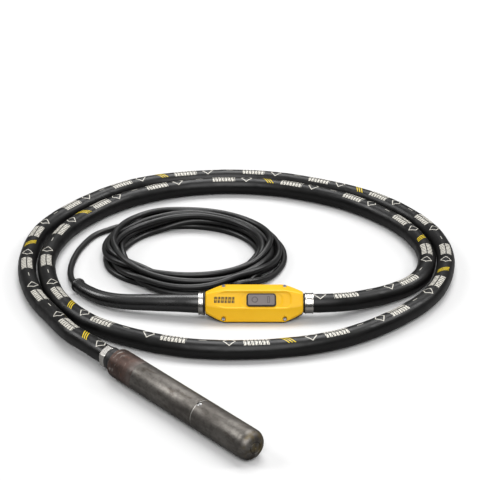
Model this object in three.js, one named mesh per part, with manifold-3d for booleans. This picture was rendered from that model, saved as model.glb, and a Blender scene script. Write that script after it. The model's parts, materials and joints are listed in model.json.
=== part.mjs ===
// Hand-held concrete vibrator: a steel vibrating head on a rubber hose, a switch housing in the hose,
// and a coiled supply cable with its plug. Millimetres, +Z up. The origin lies on the floor under the
// middle of the switch housing; +X runs along the housing towards the hose.
import * as THREE from 'three';
import { mergeVertices } from 'three/addons/utils/BufferGeometryUtils.js';
import Module from 'manifold-3d';

const wasm = await Module();
wasm.setup();

// ---------------------------------------------------------------- driving dimensions
const GAP = 0.3; // clearance between neighbouring pieces

const HOUSING = {
  half: 96.5, // half length
  full: 58, // half length of the full-width middle
  width: 39.2, // half width in the middle
  top: 22, // switch face above the hose axis
  bottom: 25.6, // underside below the hose axis
  shoulder: 2.2, // upper end of the side wall
  hip: 5.8, // lower end of the side wall, below the axis
  endWidth: 20.6, // half width at the ends
  endHeight: 19,
  endCorner: 11, // side wall's half height at the ends
  wall: 3,
  endWall: 4,
  parting: -1, // lower rim of the upper shell
};
const AXIS_HEIGHT = (HOUSING.width + HOUSING.hip) / Math.SQRT2; // rests on its lower chamfer
const GASKET = 1;
const PANEL = { from: -90, to: 73, half: 17.6, depth: 1.5, slope: 2.4 }; // sunk area of the face
const REACH = 60; // cutting bodies pass the housing by at least this much
const SWITCH = { x: 14, length: 58, width: 27, corner: 6, rim: 1.7, play: 0.9, pivot: 13.5 };
const SCREW = { x: 60.5, y: 34.2, head: 3.3, headHeight: 3, shank: 1.9, seat: 1, length: 8, play: 0.4 };

const HOSE = { radius: 19, bore: 13, sides: 10, step: 58, straight: 18 };
const CORE = { radius: 7, sides: 5 }; // the cable inside the hose
const FLOOR_GAP = 0.4; // soft pieces stay this far above the floor
const RING = { x: -34, y: 254 }; // centre of the hose's two turns

const CABLE = { radius: 6.3, sides: 6, step: 37 };
const CABLE_LOW = CABLE.radius + 0.2; // axis height of cable lying on the floor
// The coil's strands keep their spacing, and sink by the settling in each pass.
const COIL = { x: -130, y: 280, step: 9, passes: 420, spacing: 14, settling: 0.05 };
const SLEEVE = { root: 20, tip: 12.6, bore: 8, socket: 17.4, socketDepth: 19, bead: 15, step: 20 };
const PLUG = { x: -6, y: 58, radius: 18.5, half: 14, pin: 2.4, pinLength: 19, pinPitch: 9.5 };

const HEAD = {
  radius: 28.5,
  length: 400,
  connector: 72, // length of the rear section
  groove: 250, // joint between tube and tip
  dome: 19,
  flat: 11,
  nutLength: 15,
  nutCorner: 22.5, // radius of the nut's corners
  bore: 12, // way for the hose nipple
  neckLength: 21,
  end: new THREE.Vector3(-253.6, -243.4, 28.5), // centre of the rear face
  tip: new THREE.Vector3(-1.2, -553.8, 28.5), // centre of the flat at the tip
};
const LIFT_BACK = 60; // lift pivot, behind the nut
const SWING_BACK = 120; // swing pivot, behind the nut
const JOINT_GAP = 12; // hose left out at each pivot
const NUT_PLAY = 1; // the hose ends this far behind the nut
const HOUSE_SIDE = HOUSING.half + 4.5; // the hose starts here, inside its ferrule

// ---------------------------------------------------------------- finishes
function finish(color, roughness, metalness) {
  return new THREE.MeshStandardMaterial({ color, roughness, metalness });
}
const YELLOW = () => finish(0xf5b41c, 0.4, 0);
const BLACK_PLASTIC = () => finish(0x1c1c1e, 0.55, 0);
const ROCKER_PLASTIC = () => finish(0x7a7070, 0.5, 0);
const RUBBER = () => finish(0x161616, 0.6, 0);
const CABLE_RUBBER = () => finish(0x2a2a2b, 0.7, 0);
const PLATED = () => finish(0xc4c8ca, 0.25, 1);
const GUNMETAL = () => finish(0x5c5651, 0.42, 1);
const OXIDISED = () => finish(0x4c3a36, 0.55, 1);
const BRASS = () => finish(0xb89a55, 0.35, 1);
const COPPER = () => finish(0xa8623a, 0.4, 1);
const BOARD_GREEN = () => finish(0x2f5d3a, 0.6, 0);

// ---------------------------------------------------------------- solids
function signedVolume(position, index) {
  const [a, b, c] = [new THREE.Vector3(), new THREE.Vector3(), new THREE.Vector3()];
  let six = 0;
  for (let i = 0; i < index.length; i += 3) {
    a.fromBufferAttribute(position, index[i]);
    b.fromBufferAttribute(position, index[i + 1]);
    c.fromBufferAttribute(position, index[i + 2]);
    six += a.dot(b.cross(c));
  }
  return six / 6;
}

// A closed mesh as a manifold solid: welded, without collapsed triangles, faces pointing out.
function solid(geometry) {
  const bare = new THREE.BufferGeometry();
  bare.setAttribute('position', geometry.attributes.position.clone());
  if (geometry.index) bare.setIndex(geometry.index.clone());
  const welded = mergeVertices(bare, 1e-3);
  const corners = [];
  const all = welded.index.array;
  for (let i = 0; i < all.length; i += 3) {
    const [a, b, c] = [all[i], all[i + 1], all[i + 2]];
    if (a !== b && b !== c && c !== a) corners.push(a, b, c);
  }
  if (signedVolume(welded.attributes.position, corners) < 0) corners.reverse();
  return new wasm.Manifold(
    new wasm.Mesh({
      numProp: 3,
      vertProperties: new Float32Array(welded.attributes.position.array),
      triVerts: new Uint32Array(corners),
    }),
  );
}

function geometryOf(body) {
  const mesh = body.getMesh();
  const geometry = new THREE.BufferGeometry();
  geometry.setAttribute('position', new THREE.BufferAttribute(new Float32Array(mesh.vertProperties), 3));
  geometry.setIndex(new THREE.BufferAttribute(new Uint32Array(mesh.triVerts), 1));
  geometry.computeVertexNormals();
  return geometry;
}

function piece(name, body, material) {
  const mesh = new THREE.Mesh(geometryOf(body), material);
  mesh.name = name;
  return mesh;
}

const join = (first, ...rest) => rest.reduce((sum, next) => sum.add(next), first);
const cut = (first, ...rest) => rest.reduce((left, next) => left.subtract(next), first);

function box([x0, x1], [y0, y1], [z0, z1]) {
  const geometry = new THREE.BoxGeometry(x1 - x0, y1 - y0, z1 - z0);
  return solid(geometry.translate((x0 + x1) / 2, (y0 + y1) / 2, (z0 + z1) / 2));
}

// A polygon's corner radius when its flats lie on the given radius, as a bore's must.
const around = (radius, sides) => radius / Math.cos(Math.PI / sides);

// A turned piece along X, about the axis through (y, z). The profile lists [x, radius] from axis to axis.
function turned(profile, sides = 32, [y, z] = [0, 0]) {
  const points = profile.map(([x, radius]) => new THREE.Vector2(radius, x));
  return solid(new THREE.LatheGeometry(points, sides).rotateZ(-Math.PI / 2).translate(0, y, z));
}

// A turned ring about the X axis. The outline lists [x, radius] and closes on itself.
function turnedRing(outline, sides = 32) {
  return turned([...outline, outline[0]], sides);
}

function rod(x0, x1, radius, sides = 24, axis = [0, 0]) {
  return turned([[x0, 0], [x0, radius], [x1, radius], [x1, 0]], sides, axis);
}

function tube(x0, x1, radius, bore, sides = 24) {
  const inside = around(bore, sides);
  return turnedRing([[x0, inside], [x0, radius], [x1, radius], [x1, inside]], sides);
}

// A round post along Z.
function post(x, y, z0, z1, radius, sides = 12) {
  const geometry = new THREE.CylinderGeometry(radius, radius, z1 - z0, sides).rotateX(Math.PI / 2);
  return solid(geometry.translate(x, y, (z0 + z1) / 2));
}

function roundedRect(length, width, corner, x = 0, y = 0) {
  const shape = new THREE.Shape();
  const [a, b] = [length / 2 - corner, width / 2 - corner];
  shape.absarc(x + a, y + b, corner, 0, Math.PI / 2);
  shape.absarc(x - a, y + b, corner, Math.PI / 2, Math.PI);
  shape.absarc(x - a, y - b, corner, Math.PI, Math.PI * 1.5);
  shape.absarc(x + a, y - b, corner, Math.PI * 1.5, Math.PI * 2);
  return shape;
}

// A shape in XY raised from z0 to z1.
function raised(shape, z0, z1, curveSegments = 4) {
  const options = { depth: z1 - z0, bevelEnabled: false, curveSegments };
  return solid(new THREE.ExtrudeGeometry(shape, options).translate(0, 0, z0));
}

// Skin over rings of equally many points. A closed skin joins its last ring to its first, as a tube
// with a bore does; an open one gets a cap on each end.
function skin(rings, closed = false) {
  const count = rings[0].length;
  const points = rings.flat();
  const index = [];
  const spans = closed ? rings.length : rings.length - 1;
  for (let r = 0; r < spans; r++) {
    const [here, there] = [r * count, ((r + 1) % rings.length) * count];
    for (let i = 0; i < count; i++) {
      const j = (i + 1) % count;
      index.push(here + i, here + j, there + j, here + i, there + j, there + i);
    }
  }
  if (!closed) {
    const last = (rings.length - 1) * count;
    for (let i = 1; i < count - 1; i++) index.push(0, i + 1, i, last, last + i, last + i + 1);
  }
  const geometry = new THREE.BufferGeometry().setFromPoints(points);
  geometry.setIndex(index);
  return solid(geometry);
}

// ---------------------------------------------------------------- curves
const DIVISIONS = 100; // chords that measure each stretch between two points

function curveThrough(points) {
  const curve = new THREE.CatmullRomCurve3(points);
  curve.arcLengthDivisions = DIVISIONS * (points.length - 1);
  return curve;
}

// The distance along a curve to one of the points it goes through.
const distanceTo = (curve, point) => curve.getLengths()[DIVISIONS * point];

// A regular polygon across a curve at a distance along it, its first corner uppermost.
function ringAt(curve, distance, radius, sides) {
  const u = THREE.MathUtils.clamp(distance / curve.getLength(), 0, 1);
  const [centre, tangent] = [curve.getPointAt(u), curve.getTangentAt(u)];
  const side = new THREE.Vector3(0, 0, 1).cross(tangent).normalize();
  const up = tangent.clone().cross(side);
  return Array.from({ length: sides }, (_, i) => {
    const angle = (2 * Math.PI * i) / sides;
    const out = up.clone().multiplyScalar(Math.cos(angle)).addScaledVector(side, Math.sin(angle));
    return centre.clone().addScaledVector(out, radius);
  });
}

// Distances from one end of a stretch to the other, in even steps near the wanted size.
function evenly(from, to, step) {
  const count = Math.max(1, Math.round((to - from) / step));
  return Array.from({ length: count + 1 }, (_, i) => THREE.MathUtils.lerp(from, to, i / count));
}

// A cord along a curve, with a ring at each distance.
function cord(curve, distances, radius, sides) {
  return skin(distances.map((d) => ringAt(curve, d, radius, sides)));
}

// A pipe along a curve, with a ring outside and in its bore at each distance.
function pipe(curve, distances, radius, bore, sides) {
  const outer = distances.map((d) => ringAt(curve, d, radius, sides));
  const inner = distances.map((d) => ringAt(curve, d, around(bore, sides), sides));
  return skin([...outer, ...inner.toReversed()], true);
}

// ---------------------------------------------------------------- the hose's path
const headAxis = HEAD.tip.clone().sub(HEAD.end).normalize();
const behindNut = (distance) => {
  const back = distance + HEAD.neckLength + HEAD.nutLength;
  return HEAD.end.clone().addScaledVector(headAxis, -back);
};

// Turns are given as [angle in degrees, radius] about the ring's centre, anticlockwise from above.
const HOSE_TURNS = [
  [333, 369.5], [342.4, 390], [352, 395.5], [362, 395.5], [376, 388], [390, 379], [412, 370],
  [440, 370.5], [465, 376.5], [490, 380.5], [517, 384.5], [540, 395], [556, 402], [574, 416.5],
  [592, 427.5], [620, 430], [655, 431.5], [690, 434.5], [712, 435.5], [727, 434], [742, 428],
  [765, 418], [800, 415.5], [825, 423.5], [846, 432.5], [880, 434.5], [905, 437.5], [925, 449],
];

function hoseCurve() {
  const start = [
    [HOUSE_SIDE, 0, AXIS_HEIGHT], [HOUSE_SIDE + 20, 0, AXIS_HEIGHT], [151, 3.6, 30.6], [180, 13, 28.2],
    [211, 29, 24.6], [242, 48, 21.6], [273.7, 69, 19.9],
  ].map((p) => new THREE.Vector3(...p));
  const turns = HOSE_TURNS.map(([degrees, radius]) => {
    const angle = THREE.MathUtils.degToRad(degrees);
    const [x, y] = [RING.x + radius * Math.cos(angle), RING.y + radius * Math.sin(angle)];
    return new THREE.Vector3(x, y, HOSE.radius + FLOOR_GAP);
  });
  const rise = new THREE.Vector3(RING.x - 357, RING.y - 299.5, 23.5);
  const end = [SWING_BACK, LIFT_BACK, NUT_PLAY].map(behindNut);
  return curveThrough([...start, ...turns, rise, ...end]);
}

const hose = hoseCurve();
const hoseLength = hose.getLength();
const swingAt = hoseLength + NUT_PLAY - SWING_BACK;
const liftAt = hoseLength + NUT_PLAY - LIFT_BACK;
const hoseSpans = {
  main: [0, HOSE.straight, ...evenly(2 * HOSE.straight, swingAt - JOINT_GAP / 2, HOSE.step)],
  link: [swingAt + JOINT_GAP / 2, liftAt - JOINT_GAP / 2],
  headEnd: [liftAt + JOINT_GAP / 2, hoseLength],
};

const hosePiece = (distances) => pipe(hose, distances, HOSE.radius, HOSE.bore, HOSE.sides);
const corePiece = (distances) => cord(hose, distances, CORE.radius, CORE.sides);

// ---------------------------------------------------------------- the supply cable's path
const CABLE_LEAD = [
  [-70, 0, AXIS_HEIGHT], [-117, 0, AXIS_HEIGHT], [-146, 5, 30.2], [-206, 14.5, 26.3], [-266, 29.5, 21.4],
  [-307, 52.5, 18.6], [-344, 93.8, 16.2], [-358, 118.5, 15], [-371, 147, 11.5], [-379.5, 200, 7],
  [-378, 255, CABLE_LOW], [-366, 318.5, CABLE_LOW], [-338, 386, CABLE_LOW],
  [-296, 424, CABLE_LOW],
].map((p) => new THREE.Vector3(...p));
const SLEEVE_MOUTH = 7; // the lead point where the cable leaves the bend sleeve
const CABLE_TAIL = [
  [20, 171, CABLE_LOW], [2, 140, CABLE_LOW], [PLUG.x, 118, 9], [PLUG.x, 96, 13.5],
].map((p) => new THREE.Vector3(...p));

// The loops as dropped: radius, height and sideways shift of each turn, clockwise from above.
const COIL_TURNS = [
  { radius: 149, height: 7, shift: 5, toward: 200 },
  { radius: 165, height: 7, shift: 8, toward: 230 },
  { radius: 180, height: 9, shift: 6, toward: 260 },
  { radius: 145, height: 21, shift: 7, toward: 80 },
  { radius: 161, height: 22, shift: 8, toward: 10 },
  { radius: 178, height: 24, shift: 7, toward: 320 },
  { radius: 152, height: 36, shift: 6, toward: 190 },
  { radius: 168, height: 38, shift: 9, toward: 250 },
  { radius: 163, height: 51, shift: 13, toward: 75 },
  { radius: 189, height: 12, shift: 2, toward: 0 },
];
const COIL_START = 150; // degrees, where the cable meets the coil
const COIL_END = -42; // degrees, where its tail leaves

function coilNode(turnsDone) {
  const angle = THREE.MathUtils.degToRad(COIL_START - 360 * turnsDone);
  const whole = Math.min(Math.floor(turnsDone), COIL_TURNS.length - 1);
  const here = COIL_TURNS[whole];
  const next = COIL_TURNS[Math.min(whole + 1, COIL_TURNS.length - 1)];
  const blend = THREE.MathUtils.smoothstep(turnsDone - whole, 0.72, 1);
  const mix = (key) => THREE.MathUtils.lerp(here[key], next[key], blend);
  const shiftOf = (turn) => turn.shift * Math.cos(angle - THREE.MathUtils.degToRad(turn.toward));
  const radius = mix('radius') + THREE.MathUtils.lerp(shiftOf(here), shiftOf(next), blend);
  return new THREE.Vector3(
    COIL.x + radius * Math.cos(angle),
    COIL.y + radius * Math.sin(angle),
    mix('height'),
  );
}

// Where the dropped cable comes to rest: it settles on the floor and on its own turns, keeps its
// length and its stiffness, and stays clear of itself. The lead and the tail are held.
function layCable(lead) {
  const tail = curveThrough(CABLE_TAIL);
  const leadCount = Math.round(lead.getLength() / COIL.step);
  const tailCount = Math.round(tail.getLength() / COIL.step);
  const turns = COIL_TURNS.length - 1 + (COIL_START - COIL_END) / 360;
  const loops = curveThrough([
    CABLE_LEAD.at(-1),
    ...Array.from({ length: Math.round(turns * 24) }, (_, i) => coilNode(0.12 + i / 24)),
    CABLE_TAIL[0],
  ]);
  const loopCount = Math.round(loops.getLength() / COIL.step);
  const nodes = [
    ...lead.getSpacedPoints(leadCount),
    ...loops.getSpacedPoints(loopCount).slice(1, -1),
    ...tail.getSpacedPoints(tailCount),
  ];
  const firstFree = leadCount + 1;
  const lastFree = nodes.length - tailCount - 2;
  const home = nodes.map((p) => p.clone());
  const lengths = nodes.slice(1).map((p, i) => p.distanceTo(nodes[i]));
  const free = (i) => i >= firstFree && i <= lastFree;
  const apart = new THREE.Vector3();
  const push = (i, j, wanted, share) => {
    apart.subVectors(nodes[i], nodes[j]);
    const miss = (wanted / Math.max(apart.length(), 1e-6) - 1) * share;
    if (free(i)) nodes[i].addScaledVector(apart, miss);
    if (free(j)) nodes[j].addScaledVector(apart, -miss);
  };
  const nearby = 24; // nodes along the cable that count as neighbours
  for (let pass = 0; pass < COIL.passes; pass++) {
    const settle = pass < COIL.passes * 0.85 ? COIL.settling : COIL.settling / 5;
    for (let i = firstFree; i <= lastFree; i++) {
      const node = nodes[i];
      const outward = new THREE.Vector3(node.x - COIL.x, node.y - COIL.y, 0);
      const bow = COIL.step ** 2 / 2 / outward.length();
      const middle = nodes[i - 1].clone().add(nodes[i + 1]).multiplyScalar(0.5);
      node.lerp(middle.addScaledVector(outward.normalize(), bow), 0.45);
      node.x += (home[i].x - node.x) * 0.004;
      node.y += (home[i].y - node.y) * 0.004;
      node.z -= settle;
    }
    for (let i = 1; i < nodes.length; i++) push(i, i - 1, lengths[i - 1], 0.5);
    for (let i = 0; i < nodes.length; i++) {
      for (let j = i + nearby; j < nodes.length; j++) {
        if (nodes[i].distanceToSquared(nodes[j]) < COIL.spacing ** 2) push(i, j, COIL.spacing, 0.5);
      }
      if (free(i)) nodes[i].z = Math.max(nodes[i].z, CABLE_LOW);
    }
  }
  return curveThrough(nodes.filter((_, i) => i % 2 === 0 || i === nodes.length - 1));
}

// ---------------------------------------------------------------- switch housing
// One corner-cut section of the housing, drawn in by the inset.
function housingSection(x, inset = 0) {
  const h = HOUSING;
  const t = THREE.MathUtils.clamp((Math.abs(x) - h.full) / (h.half - h.full), 0, 1) ** 1.25;
  const mix = (middle, end) => THREE.MathUtils.lerp(middle, end, t);
  const corner = inset * Math.tan(Math.PI / 8);
  const width = mix(h.width, h.endWidth) - inset;
  const [top, bottom] = [mix(h.top, h.endHeight) - inset, mix(h.bottom, h.endHeight) - inset];
  const [shoulder, hip] = [mix(h.shoulder, h.endCorner) - corner, mix(h.hip, h.endCorner) - corner];
  const [face, base] = [width - (top - shoulder), width - (bottom - hip)];
  return [
    [width, shoulder], [face, top], [-face, top], [-width, shoulder],
    [-width, -hip], [-base, -bottom], [base, -bottom], [width, -hip],
  ].map(([y, z]) => new THREE.Vector3(x, y, z));
}

function housingBody(inset, half) {
  const { full } = HOUSING;
  const stations = [-1, -0.62, -0.25, 0].map((t) => -full + t * (half - full));
  return skin([...stations, ...stations.toReversed().map((x) => -x)].map((x) => housingSection(x, inset)));
}

const screwPlaces = [1, -1].flatMap((sx) => [1, -1].map((sy) => [sx * SCREW.x, sy * SCREW.y]));
const slab = (z0, z1) => box([-HOUSING.half - 5, HOUSING.half + 5], [-REACH, REACH], [z0, z1]);
const passage = (radius = 14) => rod(-HOUSING.half - 5, HOUSING.half + 5, radius); // for hose and cable
const screwHole = (x, y, z0, z1) => post(x, y, z0, z1, SCREW.shank + SCREW.play);

// The sunk area's walls slope outwards. Its left end runs out where the face falls away.
function facePanel() {
  const { from, to, half, depth, slope } = PANEL;
  const outline = (grow, z) => {
    const [left, right, side] = [from - grow, to + grow, half + grow];
    return [[right, side], [left, side], [left, -side], [right, -side]].map(([x, y]) => {
      return new THREE.Vector3(x, y, z);
    });
  };
  const rimSlope = slope / depth; // growth of the outline with height
  const above = 0.4;
  return skin([
    outline(-slope, HOUSING.top - depth),
    outline(rimSlope * above, HOUSING.top + above),
  ]);
}

function upperShell() {
  const outer = housingBody(0, HOUSING.half);
  const inner = housingBody(HOUSING.wall, HOUSING.half - HOUSING.endWall);
  const bosses = screwPlaces.map(([x, y]) => post(x, y, HOUSING.parting - 1, 20, 6.5));
  const filled = join(cut(outer, inner), ...bosses.map((boss) => boss.intersect(outer)));
  const opening = roundedRect(SWITCH.length + 2 * GAP, SWITCH.width + 2 * GAP, SWITCH.corner, SWITCH.x);
  const pocket = SCREW.head + 1;
  const pockets = screwPlaces.flatMap(([x, y]) => [
    post(x, y, SCREW.seat, REACH, pocket, 16),
    box([x - pocket, x + pocket], y > 0 ? [y, REACH] : [-REACH, y], [SCREW.seat, REACH]),
    screwHole(x, y, HOUSING.parting - 2, SCREW.seat + 1),
  ]);
  return cut(
    filled,
    slab(-REACH, HOUSING.parting),
    passage(),
    raised(opening, HOUSING.top / 2, REACH),
    facePanel(),
    ...pockets,
  );
}

function lowerShell() {
  const rim = HOUSING.parting - GASKET - 2 * GAP;
  const outer = housingBody(0, HOUSING.half);
  const inner = housingBody(HOUSING.wall, HOUSING.half - HOUSING.endWall);
  const bosses = screwPlaces.map(([x, y]) => post(x, y, -REACH, 0, 4.6).intersect(outer));
  const depth = SCREW.seat - SCREW.length;
  const holes = screwPlaces.map(([x, y]) => screwHole(x, y, depth, 5));
  return cut(join(cut(outer, inner), ...bosses), slab(rim, REACH), passage(), ...holes);
}

// The seal follows the rim between the shells, broken by the round passages at both ends.
function shellGasket(side) {
  const outer = housingBody(0.6, HOUSING.half - 0.6);
  const inner = housingBody(2.6, HOUSING.half - 3.4);
  const band = slab(HOUSING.parting - GAP - GASKET, HOUSING.parting - GAP);
  const half = box([-HOUSING.half, HOUSING.half], side > 0 ? [1, REACH] : [-REACH, -1], [-10, 10]);
  const screws = screwPlaces.map(([x, y]) => screwHole(x, y, -10, 10));
  return cut(outer, inner, passage(14.4), ...screws).intersect(band).intersect(half);
}

function housingScrew([x, y]) {
  const { seat, head, headHeight, shank, length } = SCREW;
  const z = seat + GAP;
  const top = z + headHeight;
  const profile = [[z - length, 0], [z - length, shank], [z, shank], [z, head], [top, head], [top, 0]];
  const points = profile.map(([along, radius]) => new THREE.Vector2(radius, along));
  const geometry = new THREE.LatheGeometry(points, 10).rotateX(Math.PI / 2);
  const socket = post(x, y, top - 1.8, top + 1, 1.8, 6);
  return cut(solid(geometry.translate(x, y, 0)), socket);
}

function switchBezel() {
  const { x, length, width, corner, rim } = SWITCH;
  const shape = roundedRect(length, width, corner, x);
  shape.holes.push(roundedRect(length - 2 * rim, width - 2 * rim, corner - rim, x));
  return raised(shape, HOUSING.top - 5.5, HOUSING.top - 0.9);
}

function rockerButton() {
  const { x, length, width, corner, rim, play, pivot } = SWITCH;
  const shape = roundedRect(length - 2 * (rim + play), width - 2 * (rim + play), corner - rim - play, x);
  const pad = raised(shape, HOUSING.top - 3.6, HOUSING.top - 0.5);
  const hub = box([x - 4, x + 4], [-6, 6], [pivot - 3.2, HOUSING.top - 3]);
  return cut(join(pad, hub), cross(x, pivot, 8, 1.5 + GAP));
}

// A round bar across the housing, along its width.
function cross(x, z, half, radius) {
  const geometry = new THREE.CylinderGeometry(radius, radius, 2 * half, 12);
  return solid(geometry.translate(x, 0, z));
}

function switchModule() {
  const { x, pivot } = SWITCH;
  const block = box([x - 23, x + 23], [-10, 10], [-6, HOUSING.top - 7]);
  const well = box([x - 7, x + 7], [-7, 7], [pivot - 7, 30]);
  const terminals = [-15, 0, 15].map((dx) => box([x + dx - 1, x + dx + 1], [-3, 3], [-11, -5]));
  return cut(join(block, ...terminals), well, cross(x, pivot, 20, 1.5 + GAP));
}

const BOARD = { x0: -70, x1: 62, half: 17, z: -17 };

function circuitBoard() {
  const { x0, x1, half, z } = BOARD;
  const blocks = [[-56, -6, 12, 8, 5], [20, 4, 16, 14, 4], [44, -5, 9, 9, 3.2]].map(([x, y, l, w, h]) => {
    return box([x - l / 2, x + l / 2], [y - w / 2, y + w / 2], [z, z + h]);
  });
  return join(box([x0, x1], [-half, half], [z - 1.6, z]), ...blocks);
}

// A capacitor can lying along the board.
function capacitor(y) {
  const profile = [[-46, 0], [-46, 5.2], [-45, 6], [-24, 6], [-23, 5.2], [-23, 0]];
  return turned(profile, 16, [y, BOARD.z + 6.5]);
}

function terminalBlock() {
  const block = box([66, 82], [-13, 13], [-12, 2]);
  const screws = [-8, 0, 8].map((y) => post(74, y, -4, 10, 2.2));
  const ways = [-8, 0, 8].map((y) => box([60, 90], [y - 1.6, y + 1.6], [-10, -7]));
  return cut(block, ...screws, ...ways);
}

// A flanged spigot held between the shells. Outward is the way it points along X.
function spigot(outward, barrel, length, bore) {
  const inner = HOUSING.half - HOUSING.endWall;
  const outline = [
    [inner - 4, bore], [inner - 4, 15.5], [inner - GAP, 15.5], [inner - GAP, 13.4],
    [HOUSING.half + GAP, 13.4], [HOUSING.half + GAP, barrel], [HOUSING.half + length, barrel],
    [HOUSING.half + length, bore],
  ].map(([x, radius]) => [outward * x, radius]);
  return turnedRing(outline, 16);
}

// A clamp band with two rolled edges and a groove between them.
function bandClamp() {
  const x = -HOUSING.half - 9;
  const outline = [
    [-4.5, 23], [-1.4, 23], [-0.8, 22.3], [0.8, 22.3], [1.4, 23], [4.5, 23], [4.5, 20.7], [-4.5, 20.7],
  ];
  return turnedRing(outline.map(([dx, radius]) => [x + dx, radius]), 24);
}

// A ferrule round the end of the hose, with a raised edge at each end.
function ferrule() {
  const x = HOUSING.half + 4;
  const outline = [
    [0, 20.7], [2.4, 20.7], [3, 20.3], [13.2, 20.3], [13.8, 20.7], [16.2, 20.7], [16.2, 19.6], [0, 19.6],
  ];
  return turnedRing(outline.map(([dx, radius]) => [x + dx, radius]), 24);
}

// The tapered rubber sleeve that keeps the cable from kinking, with a bead at its mouth. Its root is
// pulled over the housing's spigot.
function bendSleeve(path, root, mouth) {
  const { root: thick, tip: thin, bore, socket, socketDepth, bead, step } = SLEEVE;
  const sides = 12;
  const taper = (d) => THREE.MathUtils.lerp(thick, thin, ((d - root) / (mouth - root)) ** 0.8);
  const outer = evenly(root, mouth - 7, step).map((d) => [d, taper(d)]);
  outer.push([mouth - 6, bead], [mouth, bead]);
  const hollow = [[root, socket], [root + socketDepth, socket]];
  hollow.push(...evenly(root + socketDepth, mouth, step).map((d) => [d, bore]));
  const ring = ([d, radius]) => ringAt(path, d, radius, sides);
  const bores = hollow.map(([d, radius]) => [d, around(radius, sides)]);
  return skin([...outer.map(ring), ...bores.toReversed().map(ring)], true);
}

// ---------------------------------------------------------------- plug
// The relief grows from the side of the round body and takes the cable in a socket.
function plugBody(cableEnd) {
  const { radius, half, x, y } = PLUG;
  const centre = new THREE.Vector3(x, y, radius);
  const profile = [
    [x - half, 0], [x - half, radius - 2], [x - half + 2, radius], [x + half - 4, radius],
    [x + half, radius - 5], [x + half, 0],
  ];
  const drum = turned(profile, 24, [y, radius]);
  const way = cableEnd.clone().sub(centre);
  const length = way.length() + 9;
  const turn = new THREE.Quaternion().setFromUnitVectors(new THREE.Vector3(1, 0, 0), way.normalize());
  const place = new THREE.Matrix4().compose(centre, turn, new THREE.Vector3(1, 1, 1));
  const alongWay = (stations) => {
    const points = stations.map(([along, r]) => new THREE.Vector2(r, along));
    const geometry = new THREE.LatheGeometry(points, 16).rotateZ(-Math.PI / 2);
    return solid(geometry.applyMatrix4(place));
  };
  const relief = alongWay([[6, 0], [6, 11.5], [20, 11], [length, 9.6], [length, 0]]);
  const socket = alongWay([[length - 10, 0], [length - 10, 7.9], [length + 5, 7.9], [length + 5, 0]]);
  const pinHoles = [-1, 1].map((side) => plugPin(side, 0.4));
  return cut(join(drum, relief), socket, ...pinHoles);
}

function plugPin(side, grow = 0) {
  const { radius, half, x, y, pin, pinLength, pinPitch } = PLUG;
  const tip = x - half - pinLength - grow;
  const root = x - half + 8 + grow;
  const profile = [
    [tip, 0], [tip, pin - 1.2 + grow], [tip + 1.6, pin + grow], [root, pin + grow], [root, 0],
  ];
  return turned(profile, 12, [y, radius + side * pinPitch]);
}

// ---------------------------------------------------------------- vibrating head
// Head pieces are drawn along +X from the rear face of the head.
function hexNut() {
  const { nutLength, neckLength, nutCorner, bore } = HEAD;
  const [back, front] = [-neckLength - nutLength, -neckLength];
  const [faceRadius, chamfer] = [nutCorner - 1.9, 1.6];
  const blank = [
    [back, 0], [back, faceRadius], [back + chamfer, nutCorner], [front - chamfer, nutCorner],
    [front, faceRadius], [front, 0],
  ];
  return cut(turned(blank, 6), rod(back - 5, front + 5, around(bore, 24)));
}

function neckRing() {
  const back = GAP - HEAD.neckLength;
  const bore = around(HEAD.bore, 24);
  const outline = [
    [back, 21.4], [-12, 21.4], [-10.5, 20], [-8.5, 20], [-7, 22], [-GAP, 22], [-GAP, bore], [back, bore],
  ];
  return turnedRing(outline, 24);
}

function hoseNipple() {
  const outline = [[-66, 10.6], [-64, 11.5], [16, 11.5], [16, around(8, 24)], [-66, around(8, 24)]];
  return turnedRing(outline, 24);
}

function headConnector() {
  const { connector, radius, bore } = HEAD;
  const outline = [
    [0, 27], [1.5, radius], [connector, radius], [connector, 24.1], [connector + 8, 24.1],
    [connector + 8, 19], [16, 19], [14, around(bore, 32)], [0, around(bore, 32)],
  ];
  return turnedRing(outline);
}

function headTube() {
  const { connector, groove, radius } = HEAD;
  const bore = around(24.5, 32);
  const outline = [
    [connector + GAP, bore], [connector + GAP, radius], [groove - 3.2, radius], [groove - 2.8, radius - 0.6],
    [groove - GAP, radius - 0.6], [groove - GAP, bore],
  ];
  return turnedRing(outline);
}

function headTip() {
  const { groove, radius, length, dome, flat } = HEAD;
  const shoulder = length - dome;
  const arc = Array.from({ length: 4 }, (_, i) => {
    const angle = ((i + 1) / 5) * (Math.PI / 2);
    return [shoulder + dome * Math.sin(angle), flat + (radius - flat) * Math.cos(angle)];
  });
  const [pocketEnd, bore] = [length - 44, around(20.5, 32)];
  const profile = [
    [pocketEnd, 0], [pocketEnd, bore], [groove - 12, bore], [groove - 12, 24.1], [groove, 24.1],
    [groove, radius - 0.6], [groove + 2, radius - 0.6], [groove + 2.4, radius], [shoulder, radius],
    ...arc, [length - 0.4, flat], [length - 0.4, 0],
  ];
  return cut(turned(profile), lockingHole());
}

const PIN = { x: 255, radius: 4.2, roll: Math.PI / 10 }; // roll: from the top, about the head's axis
const rolled = (body) => solid(geometryOf(body).rotateX(PIN.roll));
const lockingHole = () => rolled(post(PIN.x, 0, HEAD.radius - 4.5, HEAD.radius + 5, PIN.radius + GAP));

function lockingPin() {
  const body = post(PIN.x, 0, HEAD.radius - 4.2, HEAD.radius - 0.5, PIN.radius);
  return rolled(cut(body, box([PIN.x - 6, PIN.x + 6], [-0.7, 0.7], [HEAD.radius - 2, 40])));
}

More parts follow.
